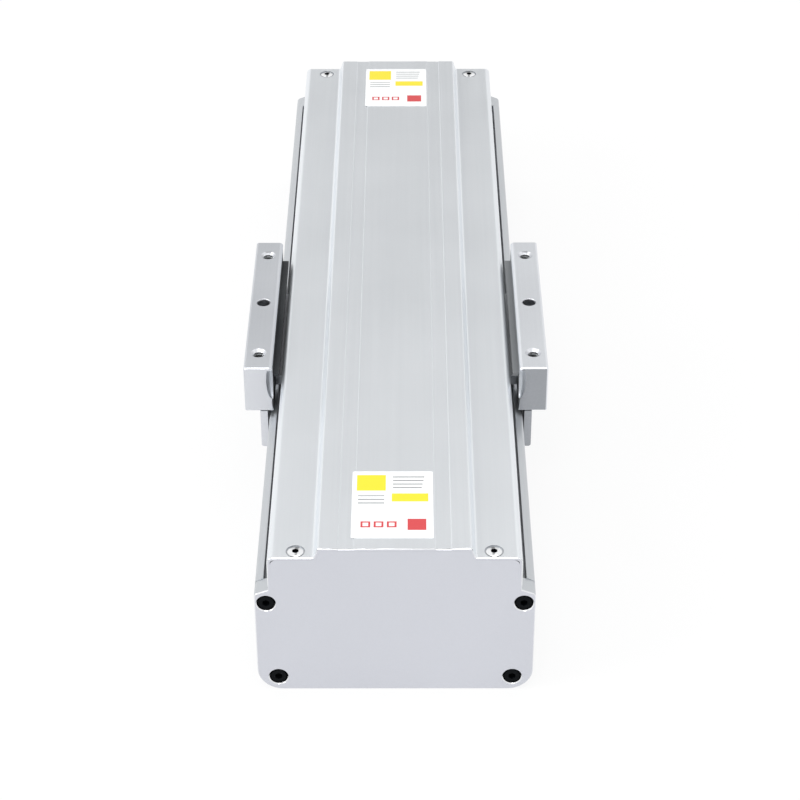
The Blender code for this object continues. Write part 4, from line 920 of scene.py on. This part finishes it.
# %% The whole carriage
def make_carriage():
    """Unite plate and wings, drill them and break the edges."""
    body, wing = make_plate(), make_wing()
    other = copy_of(wing, "wing other side", Matrix.Identity(4))
    with editing(other):
        bpy.ops.transform.mirror(constraint_axis=(True, False, False), center_override=(0, 0, 0))
        face_outwards()
    combine(body, [wing, other], "UNION")
    soften(body, 0.18 * MM, 2, 50)
    cutters = [cutter for hole in TABLE_HOLES for cutter in table_cutters(*hole)]
    cutters += [bar_between("block bolt", 4.5 * MM, (x, y, carriage_low.z - MM), (x, y, PLATE_TOP + MM), 24)
                for x, y in BLOCK_BOLTS]
    foot, head = FLANGE_ROOM
    cutters.append(box_between("flange relief", (foot.x, foot.y, carriage_low.z - MM),
                               (head.x, head.y, SCREW_LINE + head.z)))
    combine(body, cutters)
    dress(soften(body, 0), CARRIAGE_METAL)
    ends = carriage_low.y, carriage_high.y
    for where, question, metal in (
            # Painted shade on the milled ends, darker towards the right wing.
            ("milled ends", lambda face: abs(face.normal.y) > 0.99 and at_end_plane(face, ends), MILLED_PAINTED_SHADE),
            # Painted shade on the inner sides and ledges.
            ("inner sides and ledges", looks_in, INNER_PAINTED_SHADE), ("mouths of the holes", in_mouth, MOUTH_METAL),
            ("tapped holes", lambda face: in_bore(face) and abs(middle(face).y - REST) >= DOWEL, THREAD_METAL),
            ("dowel holes", lambda face: in_bore(face) and abs(middle(face).y - REST) < DOWEL, HUB_METAL)):
        print("faces of the", where + ":", repaint(body, question, metal))
    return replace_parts(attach(body, "carriage"), "carriage")


carriage = make_carriage()
print("carriage faces:", len(carriage.data.polygons))

# %% [markdown]
# ## The sensor flags
# Under the near end of each wing hangs a flat strip that a sensor on the body's side can see pass. It is a
# punched strip of metal, so a box is enough of a start: the two edges at its lower corners are rounded, and
# then all the sharp edges are broken. It is made a little narrower than the exact solid, as the photograph
# shows it.

# %% Sensor flags
FLAG_WIDTH, FLAG_CORNER = 3.6 * MM, 1.2 * MM


def make_flag(side, sign):
    """A strip below a wing's near end, with rounded lower corners."""
    low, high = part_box(f"sensor_flag_{side}")
    inner = min(abs(low.x), abs(high.x))
    flag = box_between(f"flag_{side}", (sign * inner, low.y, low.z),
                       (sign * (inner + FLAG_WIDTH), high.y, high.z))
    with editing(flag):
        face_outwards()
        pick("edges", lambda edge: near(middle(edge).z, low.z) and near(*(end.co.x for end in edge.verts)))
        bevel(FLAG_CORNER, 6)
    soften(flag, 0.2 * MM, 2, 40)
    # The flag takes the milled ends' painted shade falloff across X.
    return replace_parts(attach(dress(flag, MILLED_PAINTED_SHADE), "carriage"), f"sensor_flag_{side}")


for side, sign in (("left", -1), ("right", 1)):
    print("flag", side, [round(1000 * value, 1) for value in make_flag(side, sign).dimensions], "mm")

# %% [markdown]
# ## Threads in the tapped holes
# An M6 thread climbs one millimetre a turn. Its crest is a small triangle that travels round the hole, so a
# three-sided circle is stood upright at the wall of the hole, turned to point inward, and a Screw modifier
# carries it round and up. The triangle's root lies just inside the metal, so there is no gap. Its two ends
# are closed by filling the open loops.

# %% Cut threads
def thread_in(name, outer, pitch, turns, place, body, steps=24):
    """A thread that stands inward from the wall of a hole, from the foot of the hole upwards."""
    root = outer / 2 - pitch * 0.22
    thread = add(bpy.ops.mesh.primitive_circle_add, name, vertices=3, radius=pitch * 0.52, fill_type="NOTHING",
                 location=(root, 0, 0), rotation=(math.pi / 2, 0, 0))
    with editing(thread):
        bpy.ops.transform.rotate(value=-math.pi / 2, orient_axis="Y", center_override=(root, 0, 0))
    reach = sorted(round(1000 * vertex.co.x, 2) for vertex in thread.data.vertices)
    print("crest of the thread", reach[0], "and its root", reach[-1], "mm from the middle")
    modify(thread, "SCREW", steps=steps, render_steps=steps, screw_offset=pitch, iterations=turns, axis="Z",
           use_merge_vertices=False, use_smooth_shade=False)
    with editing(thread):
        bpy.ops.mesh.select_non_manifold()
        bpy.ops.mesh.fill_holes(sides=0)
        face_outwards()
    thread.matrix_world = place
    settle(thread)
    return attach(dress(thread, THREAD_METAL), body)


for side, sign in (("left", -1), ("right", 1)):
    for end, along in (("idle", -1), ("motor", 1)):
        spot = Vector((sign * TABLE_X, REST + along * TABLE_PITCH, WING_TOP - TAP_DEPTH + 0.6 * MM))
        made = thread_in(f"table_thread_{end}_{side}", TAP_MAJOR, 1.0 * MM, 12, Matrix.Translation(spot),
                         "carriage")
print("faces in one thread:", len(made.data.polygons))

# %% [markdown]
# ## The ball screw
# The balls run in a round-bottomed groove that climbs 10 mm a turn. Its profile over one pitch is a
# straight land and a dip, made from a row of vertices along the screw. The Screw modifier carries that row
# round and up, and the ragged ends of the helix are cut square with bisect. The journals at both ends are
# plain cylinders, joined on with a broken edge, and the collar that the bearings rest on is one more.

# %% Roll the groove
screw_low, screw_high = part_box("ball_screw")
LEAD, SCREW_RADIUS, BALL = 10.0 * MM, 8.0 * MM, 3.175 * MM
GROOVED = (-210.2 * MM, 158.9 * MM)


def groove_depth(offset):
    """How deep the ball's groove is, this far from its middle."""
    reach = BALL * 0.56
    sunk = reach * 0.62
    if abs(offset) >= math.sqrt(reach ** 2 - (reach - sunk) ** 2):
        return 0.0
    return math.sqrt(reach ** 2 - offset ** 2) - (reach - sunk)


def grooved_bar():
    """The grooved length of the screw, along Z about the origin at first."""
    turns = math.ceil((GROOVED[1] - GROOVED[0]) / LEAD) + 2
    offsets = [-5.0, -1.75, -1.6, -1.4, -1.0, -0.5, 0.0, 0.5, 1.0, 1.4, 1.6, 1.75, 5.0]
    bar = add(bpy.ops.mesh.primitive_plane_add, "ball_screw_thread", size=1)
    with editing(bar):
        pick("verts", lambda vertex: vertex.index > 0)
        bpy.ops.mesh.delete(type="VERT")
        pick("verts", lambda vertex: True)
        move(SCREW_RADIUS + 0.5, 0.5, offsets[0] * MM)
        for before, after in zip(offsets, offsets[1:]):
            drop = groove_depth(before * MM) - groove_depth(after * MM)
            extrude(drop, 0, (after - before) * MM)
    modify(bar, "SCREW", steps=32, render_steps=32, screw_offset=LEAD, iterations=turns, axis="Z",
           use_merge_vertices=False, use_normal_calculate=True)
    bar.matrix_world = (Matrix.Translation((0, GROOVED[0] - LEAD / 2, SCREW_LINE))
                        @ Matrix.Rotation(-math.pi / 2, 4, "X"))
    settle(bar)
    with editing(bar):
        bpy.ops.mesh.remove_doubles(threshold=0.01 * MM)
        for place, outward in zip(GROOVED, (-1, 1)):
            slice_at((0, place, 0), (0, outward, 0), use_fill=True, clear_outer=True)
        face_outwards()
    return bar


# %% Journals of the screw
def journal(name, diameter, start, end, lead_in=0.5 * MM):
    """A plain cylinder on the screw's line with broken edges."""
    made = bar_between(name, diameter, (0, start, SCREW_LINE), (0, end, SCREW_LINE), 48)
    with editing(made):
        pick("edges", lambda edge: near(*(end.co.y for end in edge.verts)))
        bevel(lead_in, 2)
    return made


def make_screw():
    """The screw as one piece."""
    idle_end, stub_end = screw_low.y, screw_high.y
    parts = [grooved_bar(), journal("idle journal", 12 * MM, idle_end, GROOVED[0] + MM),
             journal("run out", 15.0 * MM, GROOVED[0] - 0.9 * MM, GROOVED[0] + MM),
             journal("collar", 20 * MM, GROOVED[1] - 0.5 * MM, 164 * MM),
             journal("bearing journal", 15 * MM, 163 * MM, 194.7 * MM),
             journal("stub", 12 * MM, 194 * MM, stub_end)]
    screw = joined("ball_screw_thread", parts)
    only(screw)
    bpy.ops.object.shade_smooth_by_angle(angle=math.radians(32))
    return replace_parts(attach(dress(screw, SCREW_STEEL), "screw"), "ball_screw")


print("screw faces:", len(make_screw().data.polygons))

# %% [markdown]
# ## Screws with a hexagon socket
# A socket head screw is a cylinder with a broken upper edge, a hexagonal hole in its top and a thinner
# shank below. One function makes it upright with its seat at height zero. From there it is copied to each
# of its places and turned to its direction: into the end plates, down into the rails, and wherever the
# inside is bolted.

# %% Make a socket screw
# Head, height of the head, shank, length and key of each kind, in mm
SOCKET_SIZES = {"end screw": (7.0, 4.0, 4.0, 14.0, 3.0), "rail bolt": (6.8, 4.0, 3.9, 14.0, 3.0),
                "block bolt": (7.0, 3.2, 3.9, 15.5, 3.0), "nut bolt": (7.0, 4.0, 4.2, 9.8, 3.0)}


def socket_screw(name):
    """An upright socket head screw, seated at the origin."""
    head, height, shank, length, key = (size * MM for size in SOCKET_SIZES[name])
    screw = add(bpy.ops.mesh.primitive_cylinder_add, name, vertices=32, radius=head / 2, depth=height,
                location=(0, 0, height / 2))
    with editing(screw):
        pick("edges", lambda edge: all(near(end.co.z, height) for end in edge.verts))
        bevel(head * 0.045, 3)
        pick("faces", lambda face: near(middle(face).z, 0) and face.normal.z < -0.9)
        bpy.ops.mesh.inset(thickness=(head - shank) / 2)
        extrude(z=0.4 * MM - length)
        extrude(z=-0.4 * MM)
        bpy.ops.transform.resize(value=(0.8, 0.8, 1), center_override=(0, 0, -length))
    hexagon = bar_between("key", key / math.cos(math.pi / 6), (0, 0, height * 0.42), (0, 0, height + MM), 6)
    combine(screw, [hexagon])
    return dress(soften(screw, 0), OXIDE_STEEL)


def set_copies(master, places, body, node=None):
    """Copies of one screw at several places, each riding on a body."""
    for name, place in places.items():
        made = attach(copy_of(master, name, place), body)
        if node:
            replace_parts(made, node(name))
    bpy.data.objects.remove(master, do_unlink=True)
    return len(places)


def facing(spot, direction):
    """A place matrix that turns an upright piece to look in a direction."""
    turn = Vector(direction).to_track_quat("Z", "Y").to_matrix().to_4x4()
    return Matrix.Translation(spot) @ turn


# %% Screws of the two ends
IDLE_SEAT, MOTOR_SEAT = NEAR + BORE_DEPTH - 0.3 * MM, FAR - BORE_DEPTH + 0.3 * MM
end_places = {}
for port, (x, z) in PORTS.items():
    end_places[f"idle_screw_{port}"] = facing((x, IDLE_SEAT, z), (0, -1, 0))
    end_places[f"motor_screw_{port}"] = facing((x, MOTOR_SEAT, z), (0, 1, 0))


def end_node(name):
    """The CAD node that an end screw stands for."""
    return name.replace("idle_screw", "idle_cap_screw").replace("motor_screw", "motor_plate_screw")


count = set_copies(socket_screw("end screw"), end_places, "base", end_node)
print("end screws:", count)

# %% [markdown]
# ## The domed cover screws
# The cover is held by four button screws of polished steel. A sphere is the natural start: bisected at the
# height where it is as wide as the head, it leaves the dome, and its flat underside is extruded into the
# rim and the shank. The recess is a hexagon again. The bright dome with its dark recess is what the eye
# finds first on the shoulders, so it has more steps than the hidden screws.

# %% Make the button screws
def button_screw():
    """An upright button screw, seated at the origin."""
    head, dome, rim, shank, length, key = (size * MM for size in (7.3, 0.65, 0.25, 4.0, 8.3, 2.5))
    radius = ((head / 2) ** 2 + dome ** 2) / (2 * dome)
    screw = add(bpy.ops.mesh.primitive_uv_sphere_add, "button screw", segments=40, ring_count=48, radius=radius,
                location=(0, 0, dome + rim - radius))
    with editing(screw):
        slice_at((0, 0, rim), (0, 0, 1), use_fill=True, clear_inner=True)
        pick("faces", lambda face: face.normal.z < -0.9)
        extrude(z=0.15 * MM - rim)
        extrude(z=-0.15 * MM)
        bpy.ops.transform.resize(value=(0.94, 0.94, 1), center_override=(0, 0, 0))
        bpy.ops.mesh.inset(thickness=head * 0.47 - shank / 2)
        extrude(z=-length)
    combine(screw, [bar_between("key", key / math.cos(math.pi / 6), (0, 0, -0.4 * MM),
                                (0, 0, dome + 2 * MM), 6)])
    dress(soften(screw, 0.06 * MM, 2, 40), STAINLESS)
    # Painted shade: the faces of the hexagon recess in the polished head are painted black.
    repaint(screw, lambda face: all(vertex.co.xy.length < 1.46 * MM and -0.5 * MM < vertex.co.z < 1.1 * MM
                                    for vertex in face.verts), OXIDE_STEEL)
    return screw


cover_places = {f"cover_button_{name}": facing((x, y, SHOULDER - SEAT_DEPTH), (0, 0, 1))
                for name, (x, y) in COVER_SCREWS.items()}
count = set_copies(button_screw(), cover_places, "base", lambda name: name.replace("button", "screw"))
print("cover screws:", count)

# %% [markdown]
# ## Bolts inside
# Each rail is bolted down every 60 mm, each runner block hangs from the carriage on four bolts, and the nut
# is bolted to its bracket by its flange. They are hidden under the cover, but they show as soon as it is
# taken off, and a module without them would fall apart.

# %% Rail and block bolts
rail_low, rail_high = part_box("guide_rail_right")
RAIL_X, RAIL_PITCH = (rail_low.x + rail_high.x) / 2, 60.0 * MM
rail_count = int((rail_high.y - rail_low.y - 7.5 * MM) // RAIL_PITCH) + 1
rail_first = (rail_low.y + rail_high.y) / 2 - (rail_count - 1) * RAIL_PITCH / 2
rail_places = {f"rail_bolt_{side}_{number + 1}":
               facing((sign * RAIL_X, rail_first + number * RAIL_PITCH, rail_high.z - 5.2 * MM), (0, 0, 1))
               for side, sign in (("left", -1), ("right", 1)) for number in range(rail_count)}
count = set_copies(socket_screw("rail bolt"), rail_places, "base")
block_places = {f"block_bolt_{number + 1}": facing((x, y, PLATE_TOP), (0, 0, 1))
                for number, (x, y) in enumerate(BLOCK_BOLTS)}
count += set_copies(socket_screw("block bolt"), block_places, "carriage")
print("rail and block bolts:", count)

# %% Nut bolts
nut_low, nut_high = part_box("ball_nut")
NUT_REACH = 19 * MM
nut_places = {}
for number, degrees in enumerate((-32, 32, 148, 212)):
    angle = math.radians(degrees)
    spot = (NUT_REACH * math.cos(angle), nut_low.y, SCREW_LINE + NUT_REACH * math.sin(angle))
    nut_places[f"nut_bolt_{number + 1}"] = facing(spot, (0, -1, 0))
count = set_copies(socket_screw("nut bolt"), nut_places, "carriage")
print("nut bolts:", count)

# %% [markdown]
# ## End covers of the runner blocks
# A runner block carries its balls round inside, and at each end a plastic cover turns them back, with a
# thin wiper against the rail. The cover is a plate that follows the block's outline a little inside it. It
# starts as a box, the channel for the rail is taken out of it by a box that is wider at the head of the
# rail, and its edges are softly rounded, as moulded plastic is.

# %% Make the end covers
COVER_THICK = 1.2 * MM


def end_cover():
    """A plastic end cover of the right rail's block, in the plane at the origin."""
    low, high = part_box("runner_block_idle_right")
    inset, gap = 0.9 * MM, 0.45 * MM
    plate = box_between("end cover", (low.x + inset, 0, low.z + inset),
                        (high.x - inset, COVER_THICK, high.z - inset))
    with editing(plate):
        pick("edges", lambda edge: near(*(end.co.x for end in edge.verts))
             and near(*(end.co.z for end in edge.verts)))
        bevel(1.2 * MM, 4)
    combine(plate, [box_between("rail head", (rail_low.x - gap, -MM, 0),
                                (rail_high.x + gap, 3 * MM, rail_high.z + gap))])
    return dress(soften(plate, 0.2 * MM, 2, 50), PLASTIC)


cover_spots = {}
for block in ("idle_left", "idle_right", "motor_left", "motor_right"):
    low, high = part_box(f"runner_block_{block}")
    across = 0 if block.endswith("right") else -2 * RAIL_X
    cover_spots[f"block_end_cover_{block}_near"] = Matrix.Translation((across, low.y - COVER_THICK, 0))
    cover_spots[f"block_end_cover_{block}_far"] = Matrix.Translation((across, high.y, 0))
print("end covers:", set_copies(end_cover(), cover_spots, "carriage"))

# %% [markdown]
# ## Balls in the bearings
# A ball bearing is two rings with a row of balls between them. The rings are exact solids already. The
# balls are one icosphere, copied round the screw's line and joined into one piece for each bearing. They
# ride on the body, because they only roll, while the inner rings turn with the screw.

# %% Fill the bearings
def ball_row(name, centre_y, pitch_radius, ball, count):
    """A row of balls round the screw's line."""
    master = add(bpy.ops.mesh.primitive_ico_sphere_add, name + " ball", subdivisions=3, radius=ball / 2)
    only(master)
    bpy.ops.object.shade_smooth()
    balls = []
    for number in range(count):
        angle = math.tau * number / count
        spot = (pitch_radius * math.cos(angle), centre_y, SCREW_LINE + pitch_radius * math.sin(angle))
        balls.append(copy_of(master, f"{name} {number}", Matrix.Translation(spot)))
    bpy.data.objects.remove(master, do_unlink=True)
    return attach(dress(joined(name, balls), RING_STEEL), "base")


for bearing, count in (("idle_bearing", 9), ("drive_bearing_first", 11), ("drive_bearing_second", 11)):
    (inner_low, inner_high), (outer_low, outer_high) = (
        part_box(bearing.replace("_bearing", f"_bearing_{ring}_ring")) for ring in ("inner", "outer"))
    width = outer_high.x - outer_low.x
    bore = inner_high.x - inner_low.x
    print(bearing, "outer ring", round(1000 * width, 1), "inner ring", round(1000 * bore, 1), "mm")
    share = (width / 2 - bore / 2) * 0.46
    ball_row(f"{bearing}_balls", (inner_low.y + inner_high.y) / 2, bore / 2 + share, 2 * share, count)

# %% [markdown]
# ## The labels
# Two printed labels sit on the plateau, one near each end. A label is a thin film of vinyl with rounded
# corners. Its print is plain: two yellow fields, a few grey ruled lines and four red squares, all made of
# rectangles in the shader. Each rectangle is a line of arithmetic, the product of "between these two
# places" along X and along Y.

# %% Print a label
LABEL_WIDE, LABEL_LONG, LABEL_THICK = 35.1 * MM, 47.5 * MM, 0.12 * MM


def printed_label(name, corner_x, corner_y):
    """White vinyl with plain coloured fields, measured from the label's near left corner."""
    finish = Finish(name, Metallic=0.0, Roughness=0.32, Coat_Weight=0.4, Coat_Roughness=0.15)
    x, y, _ = finish.axes()

    def field(left, right, low, high):
        """1 inside a rectangle given in mm."""
        across = (x > corner_x + left * MM) * (x < corner_x + right * MM)
        return across * (y > corner_y + low * MM) * (y < corner_y + high * MM)

    yellow = field(2.0, 14.6, 33.4, 44.8).either(field(17.2, 33.0, 25.6, 31.4))
    grey = field(2.6, 14.0, 29.4, 30.0)
    for row in (26.8, 24.2, 35.2, 37.8, 40.4, 43.0):
        left, right = (2.6, 14.0) if row < 30 else (17.6, 32.4 - (row % 3))
        grey = grey.either(field(left, right, row, row + 0.7))
    red = field(24.0, 32.0, 5.6, 13.4)
    for left in (4.0, 9.6, 15.2):
        red = red.either(field(left, left + 4.2, 7.4, 11.6) * (1 - field(left + 0.9, left + 3.3, 8.3, 10.7)))
    paper = finish.noise(0.004, 3.0)
    white = finish.blend(paper, shade(236, 239, 240), shade(246, 247, 247))
    colour = finish.blend(grey, white, shade(132, 134, 136))
    colour = finish.blend(yellow, colour, shade(236, 219, 40))
    colour = finish.blend(red, colour, shade(206, 66, 70))
    return finish.show(colour, 0.30 + paper * 0.10, paper, 0.00002, 0.2)


def stick_label(name, corner_x, corner_y):
    """A label on the plateau with its near left corner there."""
    centre = (corner_x + LABEL_WIDE / 2, corner_y + LABEL_LONG / 2, TOP)
    label = add(bpy.ops.mesh.primitive_plane_add, name, (LABEL_WIDE, LABEL_LONG, 1), size=1, location=centre)
    with editing(label):
        bpy.ops.mesh.bevel(offset=0.8 * MM, segments=5, affect="VERTICES")
        everything()
        extrude(z=LABEL_THICK)
        face_outwards()
    soften(label, 0.03 * MM, 1, 60)
    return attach(dress(label, printed_label(name, corner_x, corner_y)), "base")


stick_label("label_idle_end", -18.6 * MM, NEAR + 7.1 * MM)
stick_label("label_motor_end", -18.6 * MM, NEAR + 405.7 * MM)
print("two labels of", round(1000 * LABEL_WIDE, 1), "by", round(1000 * LABEL_LONG, 1), "mm")

# %% [markdown]
# ## Floor, light and background
# The photograph is a product shot on pure white. The floor is pale and matt, and where the camera or a
# gloss looks at it, most of its white is its own, so that it stays white while a soft shadow still shows.
# The light is plain: an even sky, a little brighter overhead, and four large soft lamps. Together they
# light a surface so that a colour comes out about as it was written. Polished metal shows what is around
# it, so ahead and behind the sky is darker low down, with one narrow dark gap, and a screw's dome or a
# rounded edge has something to show.

# %% Floor
def make_floor():
    """A pale floor with a soft shadow."""
    floor = add(bpy.ops.mesh.primitive_plane_add, "floor", size=12, location=(0, 0, -0.2 * MM))
    pale = bpy.data.materials.new("Pale floor")
    board = Board(pale)
    tree = board.tree
    matt = tree.nodes["Principled BSDF"]
    matt.inputs["Base Color"].default_value = (0.86, 0.86, 0.86, 1)
    matt.inputs["Roughness"].default_value = 0.9
    matt.inputs["Specular IOR Level"].default_value = 0.1
    path = board.node("LightPath", output="Is Camera Ray")
    rays = path.either(Wire(board, path.socket.node.outputs["Is Glossy Ray"]))
    rays = rays.either(Wire(board, path.socket.node.outputs["Is Transmission Ray"]))
    glow = board.node("Emission", values={"Color": (1, 1, 1, 1), "Strength": 1.0})
    mixed = board.node("MixShader", values={0: rays * 0.86, 1: Wire(board, matt.outputs[0]), 2: glow})
    board.feed(tree.nodes["Material Output"].inputs["Surface"], mixed)
    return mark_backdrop(dress(floor, pale))


make_floor()
print("floor laid")

# %% Sky and lamps
def make_sky():
    """A pale sky, darker low down ahead and behind, and pure white to the camera."""
    world = bpy.data.worlds.new("Studio")
    bpy.context.scene.world = world
    board = Board(world)
    tree = board.tree
    direction = board.node("TexCoord", output="Generated")
    height = Wire(board, board.node("SeparateXYZ", values={0: direction}).socket.node.outputs[2])
    across = Wire(board, height.socket.node.outputs[0]) * 0.5 + 0.5
    level, gap, sides = (board.node("ValToRGB", {"stops": stops}, {0: wire}) for wire, stops in (
        (height, [(0.0, 0.60), (0.25, 0.74), (0.45, 0.92), (0.65, 1.0)]),
        (across, [(0.455, 1.0), (0.475, 0.35), (0.525, 0.35), (0.545, 1.0)]),
        (across, [(0.36, 1.0), (0.42, 0.0), (0.58, 0.0), (0.64, 0.7)])))
    level = board.blend(sides, level * gap, (1, 1, 1, 1))
    seen = board.node("LightPath", output="Is Camera Ray")
    colour = board.blend(seen, level, (1, 1, 1, 1))
    board.feed(tree.nodes["Background"].inputs["Color"], colour)
    tree.nodes["Background"].inputs["Strength"].default_value = 1.0


def lamp(name, place, target, size, watts):
    """A large soft lamp that looks at a point."""
    light = bpy.data.lights.new(name, "AREA")
    light.shape, light.size, light.energy = "DISK", size, watts
    holder = bpy.data.objects.new(name, light)
    bpy.context.scene.collection.objects.link(holder)
    holder.location = place
    holder.rotation_euler = (Vector(target) - Vector(place)).to_track_quat("-Z", "Y").to_euler()
    return holder


make_sky()
lamp("Softbox left", (-1.6, -0.7, 1.1), (0, -0.05, 0.03), 1.1, 13.0)
lamp("Softbox right", (1.5, -0.3, 1.2), (0, 0, 0.03), 1.0, 1.5)
lamp("Softbox above", (0.2, 0.1, 2.2), (0, 0, 0.05), 1.2, 4.5)
lamp("Softbox front", (-0.2, -1.35, 1.8), (0, -0.1, 0.05), 0.8, 8.0)
bpy.context.scene.view_settings.view_transform = "Standard"
print("sky and four lamps")
